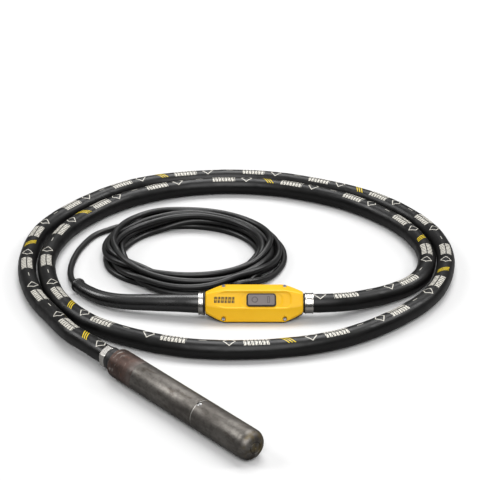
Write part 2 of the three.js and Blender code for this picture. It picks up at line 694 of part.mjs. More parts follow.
const SHAFT = { radius: 6, from: 76, to: 352 };
const BEARINGS = [
  { name: 'rear', x: 84, outer: 17 },
  { name: 'middle', x: 216, outer: 20 },
  { name: 'front', x: 342, outer: 20 },
];
const BEARING_WIDTH = 11;
const RACE = 2.4; // thickness of both rings

function bearingSizes({ x, outer }) {
  const inner = SHAFT.radius + GAP + RACE;
  const track = outer - RACE;
  const roller = (track - inner - 1.2) / 2;
  return { x0: x, x1: x + BEARING_WIDTH, inner, track, roller, pitch: (inner + track) / 2 };
}

function outerRace(bearing) {
  const { x0, x1, track } = bearingSizes(bearing);
  return tube(x0, x1, bearing.outer, track, 20);
}

function innerRace(bearing) {
  const { x0, x1, inner } = bearingSizes(bearing);
  return tube(x0, x1, inner, SHAFT.radius + GAP, 20);
}

function rollerCage(bearing) {
  const { x0, x1, roller, pitch } = bearingSizes(bearing);
  const count = 8;
  const rollers = Array.from({ length: count }, (_, i) => {
    const angle = (2 * Math.PI * i) / count;
    return rod(x0 + 1, x1 - 1, roller, 6, [pitch * Math.cos(angle), pitch * Math.sin(angle)]);
  });
  const ring = tube(x0 + 4.5, x1 - 4.5, pitch + 1, pitch - 1, 12);
  return join(ring, ...rollers);
}

// The outer race sits in a step of its shield, open to the rear.
function bearingShield(x0, x1, bearing) {
  const seat = around(bearing.outer + GAP, 24);
  const lip = around(bearing.outer + GAP - 4, 24);
  const step = bearing.x + BEARING_WIDTH + GAP;
  return turnedRing([[x0, seat], [x0, 23.6], [x1, 23.6], [x1, lip], [step, lip], [step, seat]], 24);
}

function winding(x0, x1) {
  return turnedRing([[x0, 16], [x0, 20.5], [x0 + 2, 22], [x1 - 2, 22], [x1, 20.5], [x1, 16]], 16);
}

// A drum with the part above the shaft cut away.
function eccentricWeight() {
  const [from, to] = [234, 334];
  const drum = tube(from, to, 18.5, SHAFT.radius + GAP);
  return cut(drum, box([from - 1, to + 1], [-REACH, REACH], [7.5, REACH]));
}

// ---------------------------------------------------------------- assembly
function housingGroup() {
  const group = new THREE.Group();
  group.position.z = AXIS_HEIGHT;
  group.rotation.x = Math.PI / 4; // it lies on the chamfer below its front
  group.add(
    piece('upper_shell', upperShell(), YELLOW()),
    piece('lower_shell', lowerShell(), BLACK_PLASTIC()),
    piece('shell_gasket_back', shellGasket(1), RUBBER()),
    piece('shell_gasket_front', shellGasket(-1), RUBBER()),
    ...screwPlaces.map((place, i) => piece(`housing_screw_${i + 1}`, housingScrew(place), PLATED())),
    piece('switch_bezel', switchBezel(), BLACK_PLASTIC()),
    piece('rocker_button', rockerButton(), ROCKER_PLASTIC()),
    piece('rocker_axle', cross(SWITCH.x, SWITCH.pivot, 9.6, 1.5), PLATED()),
    piece('switch_module', switchModule(), BLACK_PLASTIC()),
    piece('circuit_board', circuitBoard(), BOARD_GREEN()),
    piece('capacitor_back', capacitor(9), PLATED()),
    piece('capacitor_front', capacitor(-9), PLATED()),
    piece('terminal_block', terminalBlock(), BLACK_PLASTIC()),
    piece('cable_spigot', spigot(-1, 16.8, 16, around(9, 16)), BLACK_PLASTIC()),
    piece('hose_spigot', spigot(1, 11.4, 20, around(8, 16)), BRASS()),
    piece('cable_side_ring', tube(-HOUSING.half - 4, -HOUSING.half - 0.6, 23.7, 17.3, 32), RUBBER()),
    piece('hose_side_ring', tube(HOUSING.half + 0.6, HOUSING.half + 3.7, 19.4, 13.8, 32), RUBBER()),
    piece('band_clamp', bandClamp(), PLATED()),
    piece('hose_ferrule', ferrule(), PLATED()),
  );
  return group;
}

function headGroup() {
  const group = new THREE.Group();
  group.position.copy(HEAD.end);
  group.rotation.z = Math.atan2(headAxis.y, headAxis.x);
  group.add(
    piece('hose_nipple', hoseNipple(), BRASS()),
    piece('hex_nut', hexNut(), PLATED()),
    piece('neck_ring', neckRing(), RUBBER()),
    piece('head_connector', headConnector(), OXIDISED()),
    piece('head_tube', headTube(), GUNMETAL()),
    piece('head_tip', headTip(), GUNMETAL()),
    piece('locking_pin', lockingPin(), PLATED()),
    piece('rear_bearing_shield', bearingShield(81, 97, BEARINGS[0]), GUNMETAL()),
    piece('middle_bearing_shield', bearingShield(206, 231, BEARINGS[1]), GUNMETAL()),
    piece('stator_core', tube(110, 190, 23.8, 14, 24), GUNMETAL()),
    piece('winding_rear', winding(98, 109.6), COPPER()),
    piece('winding_front', winding(190.4, 203), COPPER()),
    ...BEARINGS.map((b) => piece(`${b.name}_bearing_outer_race`, outerRace(b), PLATED())),
    piece('rotor_shaft', rod(SHAFT.from, SHAFT.to, SHAFT.radius), PLATED()),
    piece('rotor_core', tube(111, 189, 13.2, SHAFT.radius + GAP, 20), GUNMETAL()),
    piece('eccentric_weight', eccentricWeight(), GUNMETAL()),
    ...BEARINGS.map((b) => piece(`${b.name}_bearing_inner_race`, innerRace(b), PLATED())),
    ...BEARINGS.map((b) => piece(`${b.name}_bearing_rollers`, rollerCage(b), PLATED())),
  );
  return group;
}

function hoseGroup() {
  const group = new THREE.Group();
  const { main, link, headEnd } = hoseSpans;
  const inset = 3; // the core stops short of the hose's cut ends
  group.add(
    piece('hose_main', hosePiece(main), RUBBER()),
    piece('hose_link', hosePiece(link), RUBBER()),
    piece('hose_head_end', hosePiece(headEnd), RUBBER()),
    piece('core_cable_main', corePiece([...main.slice(0, -1), main.at(-1) - inset]), CABLE_RUBBER()),
    piece('core_cable_link', corePiece([link[0] + inset, link[1] - inset]), CABLE_RUBBER()),
    piece('core_cable_head', corePiece([headEnd[0] + inset, headEnd[1]]), CABLE_RUBBER()),
  );
  return group;
}

function supplyGroup() {
  const group = new THREE.Group();
  const lead = curveThrough(CABLE_LEAD);
  const sleeveRoot = CABLE_LEAD[0].x + HOUSE_SIDE; // the lead starts straight, inside the housing
  const cable = layCable(lead);
  const leadLength = lead.getLength();
  const distances = [
    ...evenly(0, leadLength, SLEEVE.step).slice(0, -1),
    ...evenly(leadLength, cable.getLength(), CABLE.step),
  ];
  group.add(
    piece('bend_sleeve', bendSleeve(lead, sleeveRoot, distanceTo(lead, SLEEVE_MOUTH)), RUBBER()),
    piece('supply_cable', cord(cable, distances, CABLE.radius, CABLE.sides), CABLE_RUBBER()),
    piece('plug_body', plugBody(CABLE_TAIL.at(-1)), RUBBER()),
    piece('plug_pin_upper', plugPin(1), BRASS()),
    piece('plug_pin_lower', plugPin(-1), BRASS()),
  );
  return group;
}

const vibrator = new THREE.Group();
vibrator.add(housingGroup(), hoseGroup(), headGroup(), supplyGroup());
export default vibrator;
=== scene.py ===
"""Looks of the concrete vibrator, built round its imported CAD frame. Metres, in the row frame."""

import json
import math

import bmesh
import bpy
import numpy as np
from mathutils import Matrix, Vector


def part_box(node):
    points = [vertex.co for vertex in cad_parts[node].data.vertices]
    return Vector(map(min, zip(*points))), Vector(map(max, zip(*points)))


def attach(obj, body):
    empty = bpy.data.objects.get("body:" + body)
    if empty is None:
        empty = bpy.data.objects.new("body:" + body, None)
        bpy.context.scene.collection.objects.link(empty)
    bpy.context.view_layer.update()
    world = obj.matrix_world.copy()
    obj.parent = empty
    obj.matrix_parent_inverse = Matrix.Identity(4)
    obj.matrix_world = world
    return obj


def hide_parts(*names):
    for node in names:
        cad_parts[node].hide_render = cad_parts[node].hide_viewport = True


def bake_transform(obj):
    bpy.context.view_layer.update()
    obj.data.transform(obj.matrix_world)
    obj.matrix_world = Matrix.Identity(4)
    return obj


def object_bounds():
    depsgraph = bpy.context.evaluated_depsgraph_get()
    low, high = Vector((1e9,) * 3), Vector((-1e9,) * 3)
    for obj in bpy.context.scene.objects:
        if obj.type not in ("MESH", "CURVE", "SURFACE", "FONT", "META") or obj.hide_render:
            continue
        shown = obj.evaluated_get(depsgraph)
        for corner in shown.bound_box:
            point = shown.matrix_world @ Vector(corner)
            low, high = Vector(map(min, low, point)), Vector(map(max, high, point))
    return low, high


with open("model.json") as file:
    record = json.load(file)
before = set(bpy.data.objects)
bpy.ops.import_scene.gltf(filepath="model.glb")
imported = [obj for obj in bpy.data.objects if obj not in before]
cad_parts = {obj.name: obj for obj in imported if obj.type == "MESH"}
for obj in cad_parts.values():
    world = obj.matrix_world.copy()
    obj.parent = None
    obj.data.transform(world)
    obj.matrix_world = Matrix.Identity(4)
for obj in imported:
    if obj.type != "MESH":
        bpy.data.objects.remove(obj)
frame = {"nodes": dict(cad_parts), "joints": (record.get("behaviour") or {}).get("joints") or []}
cad_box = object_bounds()

MM = 0.001
TAU = 2 * math.pi
NODES = frame["nodes"]
JOINTS = {joint["name"]: joint for joint in frame["joints"]}

# Housing, in its own frame in millimetres: x along, y across the face, z out of the face.
HALF, FULL = 96.5, 58.0  # half length, and half length of the full-width middle
TOP, BOTTOM, WIDTH, SHOULDER, HIP = 22.0, 25.6, 39.2, 2.2, 5.8
END_WIDTH, END_HEIGHT, END_CORNER = 20.6, 19.0, 11.0
WALL, END_WALL = 3.6, 4.0
PARTING, LOWER_RIM = -1.0, -2.6  # rims of the upper and the lower shell
SWITCH_X, SWITCH_LENGTH, SWITCH_WIDTH, SWITCH_CORNER = 14.0, 58.0, 27.0, 6.0
BEZEL_RIM, ROCKER_GAP, PIVOT = 1.7, 0.9, 13.5
AXLE_RADIUS = 1.8
SCREW_X, SCREW_Y, SCREW_HEAD, SCREW_SEAT = 60.5, 34.2, 3.3, 1.0
SCREW_SHANK, SCREW_LENGTH, SCREW_HEAD_HEIGHT, SCREW_HOLE = 1.9, 11.0, 3.0, 2.3
PANEL_DEPTH, PANEL_WALL, PANEL_END, PANEL_CORNER = 2.5, 4.2, 75.0, 13.0
PANEL_HALF, PANEL_TAPER = 18.6, 7.0  # half width round the switch, and what it loses toward the mark
DISH_DEPTH, DISH_WALL, DISH_HALF, DISH_WIDTH, DISH_CORNER = 0.9, 5.0, 44.0, 16.4, 14.0
PASSAGE = 14.0  # radius of the way through the housing for hose and cable
REACH = 120.0  # how far cutting bodies go from the housing's middle, which is past its surface
MARK_START, MARK_LENGTH, MARK_PITCH, MARK_BLOCK = -79 * MM, 41.4 * MM, 6.9 * MM, 5.7 * MM

HOSE_RADIUS, HOSE_BORE, CORE_RADIUS = 19.0, 13.0, 7.0
WRAP_PITCH, WRAP_SLANT, WRAP_STEP = 74 * MM, 0.62, 0.45  # the wrapped cover's seams
PRINT_PERIOD, PRINT_START = 158 * MM, 118 * MM  # the band printed along the hose
CABLE_RADIUS = 6.3
SLEEVE_ROOT, SLEEVE_TIP, SLEEVE_BORE, SLEEVE_SOCKET, SLEEVE_SOCKET_DEPTH = 20.0, 12.6, 8.0, 17.4, 19.0
HEAD_RADIUS, HEAD_LENGTH, TUBE_START, GROOVE = 28.5, 399.6, 72.0, 250.0
DOME, FLAT = 19.0, 11.0  # length of the tip's rounded end, and radius of the flat on it
SPIGOT, SOCKET, INSIDE = 24.1, 24.5, 20.5  # radii where the sections of the head meet, and inside the tip
NUT_CORNER, NECK_BORE = 22.5, 12.0
GROOVE_DEPTH, PIN_X, PIN_RADIUS, PIN_ROLL = 0.7, 255.0, 4.1, math.pi / 10
PLUG_HALF, PLUG_RADIUS, CONTACT_LENGTH, CONTACT_RADIUS = 14.0, 18.5, 19.0, 2.4

CAMERA_AIM, CAMERA_DISTANCE = (-0.0279, 0.371, 0), 4.2094
CAMERA_ELEVATION, CAMERA_VIEW = math.radians(24.5), math.radians(14.013)
FLOOR_HALF = 6.0


# -------------------- materials
class Field:
    """A number or colour that varies over a surface. Arithmetic on it adds nodes to its material."""

    def __init__(self, look, socket):
        self.look, self.socket = look, socket

    def math(self, operation, *others):
        node = self.look.node("ShaderNodeMath", operation=operation)
        for place, value in enumerate((self, *others)):
            self.look.feed(node.inputs[place], value)
        return Field(self.look, node.outputs[0])

    def __add__(self, other):
        return self.math("ADD", other)

    def __sub__(self, other):
        return self.math("SUBTRACT", other)

    def __mul__(self, other):
        return self.math("MULTIPLY", other)

    def __truediv__(self, other):
        return self.math("DIVIDE", other)

    def repeat(self, period):
        """The value counted from the start of each period."""
        return (self / period).math("FRACT") * period

    def within(self, low, high):
        """1 between the two limits, else 0."""
        return self.math("GREATER_THAN", low) * self.math("LESS_THAN", high)

    def either(self, other):
        return self.math("MAXIMUM", other)

    def ramp(self, low, high, at_low=0.0, at_high=1.0):
        """Rises smoothly from at_low to at_high while the value goes from low to high."""
        node = self.look.node("ShaderNodeMapRange", interpolation_type="SMOOTHSTEP")
        for place, value in enumerate((self, low, high, at_low, at_high)):
            self.look.feed(node.inputs[place], value)
        return Field(self.look, node.outputs[0])


class Look:
    """A procedural material being put together round one Principled surface."""

    def __init__(self, name, roughness, metallic=0.0, **more):
        self.material = bpy.data.materials.new(name)
        self.material.use_nodes = True
        self.tree = self.material.node_tree
        self.surface = self.tree.nodes["Principled BSDF"]
        self.set(Roughness=roughness, Metallic=metallic, **more)

    def node(self, kind, **settings):
        made = self.tree.nodes.new(kind)
        for key, value in settings.items():
            setattr(made, key, value)
        return made

    def feed(self, socket, value):
        if isinstance(value, Field):
            self.tree.links.new(value.socket, socket)
        elif isinstance(value, tuple) and len(value) == 3 and socket.type == "RGBA":
            socket.default_value = (*value, 1.0)
        else:
            socket.default_value = value

    def set(self, **inputs):
        for name, value in inputs.items():
            self.feed(self.surface.inputs[name.replace("_", " ")], value)
        return self

    def place(self, stretch=(1, 1, 1), uv=False, attribute=None):
        """Coordinates on the piece: its own frame, the wrap UV, or a stored attribute."""
        if uv:
            source = self.node("ShaderNodeUVMap", uv_map="wrap").outputs[0]
        elif attribute:
            source = self.node("ShaderNodeAttribute", attribute_name=attribute).outputs["Vector"]
        else:
            source = self.node("ShaderNodeTexCoord").outputs["Object"]
        mapping = self.node("ShaderNodeMapping")
        self.tree.links.new(source, mapping.inputs["Vector"])
        mapping.inputs["Scale"].default_value = stretch
        return mapping.outputs[0]

    def axes(self, **where):
        """The coordinates of place() as three fields."""
        split = self.node("ShaderNodeSeparateXYZ")
        self.tree.links.new(self.place(**where), split.inputs[0])
        return [Field(self, output) for output in split.outputs]

    def noise(self, scale, detail=3.0, rough=0.55, **where):
        made = self.node("ShaderNodeTexNoise")
        self.tree.links.new(self.place(**where), made.inputs["Vector"])
        made.inputs["Scale"].default_value = scale
        made.inputs["Detail"].default_value = detail
        made.inputs["Roughness"].default_value = rough
        return Field(self, made.outputs["Fac"])

    def stored(self, name):
        return Field(self, self.node("ShaderNodeAttribute", attribute_name=name).outputs["Fac"])

    def mix(self, share, first, second):
        made = self.node("ShaderNodeMix", data_type="RGBA")
        self.feed(made.inputs["Factor"], share)
        self.feed(made.inputs[6], first)
        self.feed(made.inputs[7], second)
        return Field(self, made.outputs[2])

    def bump(self, height, depth, strength=1.0):
        """Raises the surface by depth metres where height is 1. Calls stack up."""
        made = self.node("ShaderNodeBump")
        made.inputs["Distance"].default_value = depth
        made.inputs["Strength"].default_value = strength
        self.feed(made.inputs["Height"], height)
        normal = self.surface.inputs["Normal"]
        if normal.is_linked:
            self.tree.links.new(normal.links[0].from_socket, made.inputs["Normal"])
        self.tree.links.new(made.outputs[0], normal)
        return self


def yellow_plastic():
    look = Look("yellow_plastic", 0.36, Specular_IOR_Level=0.26)
    tone = look.mix(look.noise(22.0).ramp(0.3, 0.7), (0.97, 0.53, 0.010), (1.0, 0.57, 0.014))
    x, y, _ = look.axes(attribute="local")
    # two rows of plain dark blocks on the left of the face, in place of printing
    row = y.math("ABSOLUTE").within(0.5 * MM, 6.5 * MM)
    from_left = x - MARK_START
    blocks = from_left.repeat(MARK_PITCH).within(0.0, MARK_BLOCK) * from_left.within(0.0, MARK_LENGTH)
    nick = (from_left + y * 0.25).repeat(MARK_PITCH).within(2.4 * MM, 3.3 * MM)
    mark = row * blocks * (nick * -0.6 + 1.0)
    look.set(Base_Color=look.mix(mark * 0.94, tone, (0.035, 0.026, 0.014)))
    look.set(Roughness=look.noise(60.0).ramp(0.2, 0.8, 0.30, 0.42))
    return look.bump(look.noise(1400.0, 2.0), 0.02 * MM)


def black_plastic():
    look = Look("black_plastic", 0.5)
    look.set(Base_Color=look.mix(look.noise(40.0), (0.014, 0.013, 0.013), (0.026, 0.025, 0.024)))
    return look.bump(look.noise(1200.0, 2.0), 0.03 * MM)


def rocker_plastic():
    look = Look("rocker_plastic", 0.48)
    tone = look.mix(look.noise(55.0), (0.185, 0.158, 0.155), (0.215, 0.185, 0.180))
    # the stored mark is the engraved ring and bar; their grooves are painted darker here, which is painted
    # shade in the grooves
    look.set(Base_Color=look.mix(look.stored("mark"), tone, (0.085, 0.070, 0.068)))
    return look.bump(look.noise(1600.0, 2.0), 0.02 * MM)


def seal_rubber():
    look = Look("seal_rubber", 0.42)
    look.set(Base_Color=look.mix(look.noise(70.0), (0.008, 0.008, 0.008), (0.018, 0.017, 0.017)))
    return look.bump(look.noise(700.0, 3.0), 0.04 * MM)


def hose_print(along, across):
    """White and yellow shares of the band printed along the hose: an outlined diamond, two rows of
    blocks, then a dash, or every third time a set of slanted yellow strokes."""
    along = along + PRINT_START
    t = along.repeat(PRINT_PERIOD)
    size = across.math("ABSOLUTE")
    block = (along + across * 0.12).repeat(7.2 * MM).within(0.9 * MM, 6.2 * MM)
    nick = (along - across * 0.35).repeat(5.1 * MM).within(1.7 * MM, 2.6 * MM)
    rows = t.within(14 * MM, 65 * MM) * size.within(1.2 * MM, 12.0 * MM) * block * (nick * -0.85 + 1.0)
    diamond = (size + (t - 146 * MM).math("ABSOLUTE")).within(10.4 * MM, 13.0 * MM)
    third = along.repeat(3 * PRINT_PERIOD).within(0.0, PRINT_PERIOD)
    dash = t.within(88 * MM, 103 * MM) * size.within(-1.0, 0.7 * MM) * (third * -1.0 + 1.0)
    slanted = t + across * 0.8
    strokes = slanted.repeat(6 * MM).within(0.0, 2.7 * MM) * slanted.within(90 * MM, 107 * MM)
    return rows.either(diamond).either(dash * 0.75), strokes * size.within(-1.0, 11.5 * MM) * third


def hose_rubber():
    look = Look("hose_rubber", 0.4, Specular_IOR_Level=0.40)
    along, across, _ = look.axes(uv=True)
    white, yellow = hose_print(along, across)
    worn = look.noise(260.0, 4.0, uv=True).ramp(0.30, 0.42)
    rubber = look.mix(look.noise(14.0, uv=True), (0.0022, 0.0021, 0.0021), (0.0048, 0.0045, 0.0044))
    seam = (along + across * WRAP_SLANT).repeat(WRAP_PITCH).within(0.0, 0.9 * MM)
    rubber = look.mix(seam * 0.7, rubber, (0.001, 0.001, 0.001))
    printed = look.mix(white * worn * 0.94, rubber, (0.80, 0.77, 0.69))
    printed = look.mix(yellow * worn, printed, (0.85, 0.62, 0.02))
    look.set(Base_Color=printed)
    look.set(Roughness=look.noise(30.0, uv=True).ramp(0.25, 0.75, 0.29, 0.43))
    look.bump(look.noise(420.0, 3.0, uv=True, stretch=(0.25, 1, 1)), 0.06 * MM)
    return look.bump(look.noise(45.0, 2.0, uv=True), 0.25 * MM)


def sleeve_rubber():
    look = Look("sleeve_rubber", 0.28, Specular_IOR_Level=0.95)
    look.set(Base_Color=look.mix(look.noise(30.0), (0.0030, 0.0030, 0.0032), (0.0055, 0.0055, 0.0058)))
    look.set(Roughness=look.noise(20.0).ramp(0.2, 0.8, 0.25, 0.29))
    return look.bump(look.noise(120.0, 2.0), 0.004 * MM)


def cable_rubber():
    look = Look("cable_rubber", 0.38, Specular_IOR_Level=0.62)
    along, across, _ = look.axes(uv=True)
    rubber = look.mix(look.noise(60.0, uv=True), (0.0030, 0.0030, 0.0032), (0.0060, 0.0058, 0.0056))
    ticks = (along + across * 0.3).repeat(2.6 * MM).within(0.5 * MM, 1.7 * MM)
    mark = ticks * along.repeat(620 * MM).within(0.0, 70 * MM) * across.within(-1.1 * MM, 1.1 * MM)
    look.set(Base_Color=look.mix(mark * 0.55, rubber, (0.22, 0.22, 0.21)))
    look.set(Roughness=look.noise(110.0, uv=True).ramp(0.2, 0.8, 0.31, 0.42))
    return look.bump(look.noise(900.0, 3.0, uv=True, stretch=(0.3, 1, 1)), 0.05 * MM)


def metal(name, dark, light, low, high, scale=30.0, stretch=(1, 1, 1), uv=False, grain=0.02):
    """Bare metal whose tone, gloss and fine grain all vary. Without grain it is smooth."""
    look = Look(name, low, 1.0)
    look.set(Base_Color=look.mix(look.noise(scale, 4.0, uv=uv, stretch=stretch).ramp(0.3, 0.7), dark, light))
    look.set(Roughness=look.noise(scale * 2.3, 3.0, uv=uv, stretch=stretch).ramp(0.25, 0.75, low, high))
    return look.bump(look.noise(scale * 40, 2.0, uv=uv, stretch=stretch), grain * MM) if grain else look


def plated_steel():
    return metal("plated_steel", (0.58, 0.56, 0.53), (0.68, 0.66, 0.63), 0.19, 0.23, 12.0, (4, 0.4, 1), True,
                 grain=0)


def zinc_steel():
    return metal("zinc_steel", (0.15, 0.15, 0.16), (0.22, 0.22, 0.24), 0.30, 0.42)


def ground_steel():
    return metal("ground_steel", (0.40, 0.40, 0.40), (0.60, 0.60, 0.60), 0.22, 0.36)


def gunmetal_steel():
    """Hardened steel worn by concrete: dark mottling, lighter streaks along the head, fine scratches."""
    look = Look("gunmetal_steel", 0.4, 1.0)
    clouds = look.noise(18.0, 5.0, 0.62, uv=True, stretch=(0.45, 0.8, 1)).ramp(0.32, 0.70)
    streaks = look.noise(60.0, 4.0, 0.65, uv=True, stretch=(0.16, 1, 1)).ramp(0.35, 0.72)
    tone = look.mix(clouds, (0.080, 0.072, 0.065), (0.215, 0.202, 0.184))
    tone = look.mix(streaks * 0.4, tone, (0.29, 0.27, 0.245))
    stains = look.noise(38.0, 4.0, 0.65, uv=True, stretch=(0.4, 1, 1)).ramp(0.54, 0.72)
    tone = look.mix(stains * 0.65, tone, (0.062, 0.046, 0.034))
    mottles = look.noise(95.0, 4.0, 0.7, uv=True).ramp(0.46, 0.62)
    tone = look.mix(mottles * 0.3, tone, (0.052, 0.048, 0.045))
    along = look.axes(uv=True)[0]
    edge = along.within((GROOVE + 1.2) * MM, (GROOVE + 3.4) * MM) * look.noise(24.0, uv=True).ramp(0.3, 0.5)
    tone = look.mix(edge * 0.85, tone, (0.72, 0.70, 0.66))
    resin = along.ramp(386 * MM, 396 * MM) * look.noise(45.0).ramp(0.42, 0.60)
    look.set(Base_Color=look.mix(resin * 0.6, tone, (0.17, 0.125, 0.040)))
    look.set(Roughness=clouds * -0.12 + 0.54)
    scratches = look.noise(900.0, 2.0, uv=True, stretch=(0.08, 1, 1)).ramp(0.35, 0.75)
    look.bump(scratches, 0.03 * MM)
    return look.bump(look.noise(120.0, 4.0, uv=True), 0.12 * MM)


def oxidised_steel():
    """Steel browned by heat and rust, with pale rub marks near its rear edge."""
    look = Look("oxidised_steel", 0.5, 0.75)
    clouds = look.noise(26.0, 4.0, 0.6, uv=True).ramp(0.3, 0.7)
    tone = look.mix(clouds, (0.042, 0.027, 0.022), (0.115, 0.075, 0.063))
    rust = look.noise(85.0, 5.0, 0.7, uv=True).ramp(0.55, 0.72)
    tone = look.mix(rust * 0.6, tone, (0.15, 0.060, 0.030))
    along, _, _ = look.axes(uv=True)
    rubbed = look.noise(120.0, 4.0, uv=True, stretch=(1, 0.5, 1)).ramp(0.56, 0.66)
    edge = along.ramp(0.0, 34 * MM, 1.0, 0.15)
    tone = look.mix(rubbed * edge * 0.75, tone, (0.44, 0.42, 0.39))
    blue = look.noise(22.0, 3.0, uv=True).ramp(0.35, 0.7) * along.ramp(48 * MM, 72 * MM)
    tone = look.mix(blue * 0.7, tone, (0.17, 0.155, 0.145))
    look.set(Base_Color=tone)
    look.set(Roughness=look.noise(50.0, uv=True).ramp(0.3, 0.7, 0.40, 0.60))
    return look.bump(look.noise(240.0, 4.0, uv=True), 0.10 * MM)


def lamination_steel():
    look = metal("lamination_steel", (0.22, 0.22, 0.23), (0.36, 0.36, 0.38), 0.34, 0.48)
    along = look.axes()[0]
    return look.bump(along.repeat(1.4 * MM).within(0.0, 0.4 * MM), -0.08 * MM)


def brass():
    return metal("brass", (0.52, 0.38, 0.15), (0.68, 0.52, 0.24), 0.22, 0.36, scale=40.0)


def copper_winding():
    look = metal("copper_winding", (0.38, 0.15, 0.06), (0.58, 0.26, 0.11), 0.28, 0.42, scale=60.0)
    x, y, _ = look.axes()
    return look.bump((x * 0.63 - y * 0.78).repeat(0.9 * MM).within(0.0, 0.3 * MM), -0.15 * MM)


def board():
    look = Look("board", 0.4, Coat_Weight=0.3)
    x, y, _ = look.axes()
    tracks = x.repeat(5 * MM).within(0.0, 1.2 * MM).either(y.repeat(4 * MM).within(0.0, 0.8 * MM))
    patches = look.noise(120.0, 1.0).ramp(0.48, 0.5)
    look.set(Base_Color=look.mix(tracks * patches, (0.008, 0.070, 0.028), (0.02, 0.13, 0.05)))
    return look.bump(tracks, 0.04 * MM)


def capacitor_can():
    return metal("capacitor_can", (0.50, 0.51, 0.52), (0.68, 0.69, 0.70), 0.24, 0.38, stretch=(0.3, 2, 2))


LOOKS = {
    make.__name__: make().material
    for make in (
        yellow_plastic, black_plastic, rocker_plastic, seal_rubber, hose_rubber, sleeve_rubber,
        cable_rubber, plated_steel, zinc_steel, ground_steel, gunmetal_steel, oxidised_steel,
        lamination_steel, brass, copper_winding, board, capacitor_can,
    )
}


# -------------------- paths
class Line:
    """A straight path through a placed frame, along its x axis."""

    def __init__(self, place):
        self.place = place

    def frames(self, distances):
        axes = np.array(self.place)[:3]
        centres = axes[:, 3] + np.outer(distances, axes[:, 0])
        repeat = np.ones((len(distances), 1))
        return centres, repeat * axes[:, 2], repeat * axes[:, 1]


class Curve:
    """A smooth path: the natural cubic spline through its points, kept above a lowest height."""

    def __init__(self, points, lowest):
        self.points, self.lowest = np.array(points), lowest
        steps = np.linalg.norm(np.diff(self.points, axis=0), axis=1)
        self.knots = np.concatenate([[0], np.cumsum(steps)])
        count = len(self.points)
        system = np.eye(count)
        right = np.zeros((count, 3))
        slopes = np.diff(self.points, axis=0) / steps[:, None]
        for i in range(1, count - 1):
            system[i, i - 1:i + 2] = steps[i - 1], 2 * (steps[i - 1] + steps[i]), steps[i]
            right[i] = 6 * (slopes[i] - slopes[i - 1])
        self.bends = np.linalg.solve(system, right)
        self.length = self.knots[-1]

    def at(self, distances):
        distances = np.clip(distances, 0, self.length)
        i = np.clip(np.searchsorted(self.knots, distances, "right") - 1, 0, len(self.knots) - 2)
        span = self.knots[i + 1] - self.knots[i]
        b = ((distances - self.knots[i]) / span)[:, None]
        a = 1 - b
        lift = ((a**3 - a) * self.bends[i] + (b**3 - b) * self.bends[i + 1]) * span[:, None] ** 2 / 6
        place = a * self.points[i] + b * self.points[i + 1] + lift
        place[:, 2] = np.maximum(place[:, 2], self.lowest)
        return place

    def frames(self, distances):
        distances = np.asarray(distances, float)
        near = 0.5 * MM
        ahead = self.at(np.minimum(distances + near, self.length))
        tangents = ahead - self.at(np.maximum(distances - near, 0))
        tangents /= np.linalg.norm(tangents, axis=1)[:, None]
        sides = np.cross([0, 0, 1], tangents)
        sides /= np.linalg.norm(sides, axis=1)[:, None]
        return self.at(distances), np.cross(tangents, sides), sides

    def nearest(self, point, step=1 * MM):
        """The distance along the path of its point nearest to the given one."""
        tried = np.arange(0, self.length, step)
        return tried[np.argmin(np.linalg.norm(self.at(tried) - np.array(point), axis=1))]


def ring_centres(node, corners, start):
    """The centre of each ring of corners along a CAD node, from its end nearest to start."""
    bm = bmesh.new()
    bm.from_mesh(NODES[node].data)
    bmesh.ops.remove_doubles(bm, verts=bm.verts, dist=0.02 * MM)
    ring = sorted(bm.verts, key=lambda v: (v.co - Vector(start)).length)[:corners]
    centres, seen = [], set()
    while ring:
        centres.append(sum((v.co for v in ring), Vector()) / len(ring))
        seen.update(ring)
        beyond = dict.fromkeys(e.other_vert(v) for v in ring for e in v.link_edges)
        ring = [v for v in beyond if v not in seen]  # in a fixed order, so that every run adds up alike
    bm.free()
    return centres


# -------------------- round pieces
def link(name, points, faces, uvs=None):
    """An object from points, faces and one UV for each face corner, its normals pointing out."""
    mesh = bpy.data.meshes.new(name)
    mesh.from_pydata([tuple(p) for p in points], [], faces)
    if uvs is not None:
        layer = mesh.uv_layers.new(name="wrap")
        layer.data.foreach_set("uv", np.asarray(uvs, np.float32).ravel())
    bm = bmesh.new()
    bm.from_mesh(mesh)
    bmesh.ops.remove_doubles(bm, verts=bm.verts, dist=0.002 * MM)
    bmesh.ops.recalc_face_normals(bm, faces=bm.faces)
    bm.to_mesh(mesh)
    bm.free()
    made = bpy.data.objects.new(name, mesh)
    bpy.context.scene.collection.objects.link(made)
    smooth(made)
    return made


def smooth(made, sharp_above=42):
    made.data.polygons.foreach_set("use_smooth", [True] * len(made.data.polygons))
    made.data.set_sharp_from_angle(angle=math.radians(sharp_above))


def softened(outline, radius, closed=True, steps=4):
    """The outline with each corner rounded to about the radius, in its own unit."""
    points = [Vector(p) for p in outline]
    count = len(points)
    result = []
    for i, corner in enumerate(points):
        if not closed and i in (0, count - 1):
            result.append(tuple(corner))
            continue
        before, after = points[i - 1] - corner, points[(i + 1) % count] - corner
        reach = min(radius, before.length * 0.45, after.length * 0.45)
        a, b = corner + before.normalized() * reach, corner + after.normalized() * reach
        for k in range(steps + 1):
            t = k / steps
            result.append(tuple(a * (1 - t) ** 2 + corner * 2 * t * (1 - t) + b * t**2))
    return result


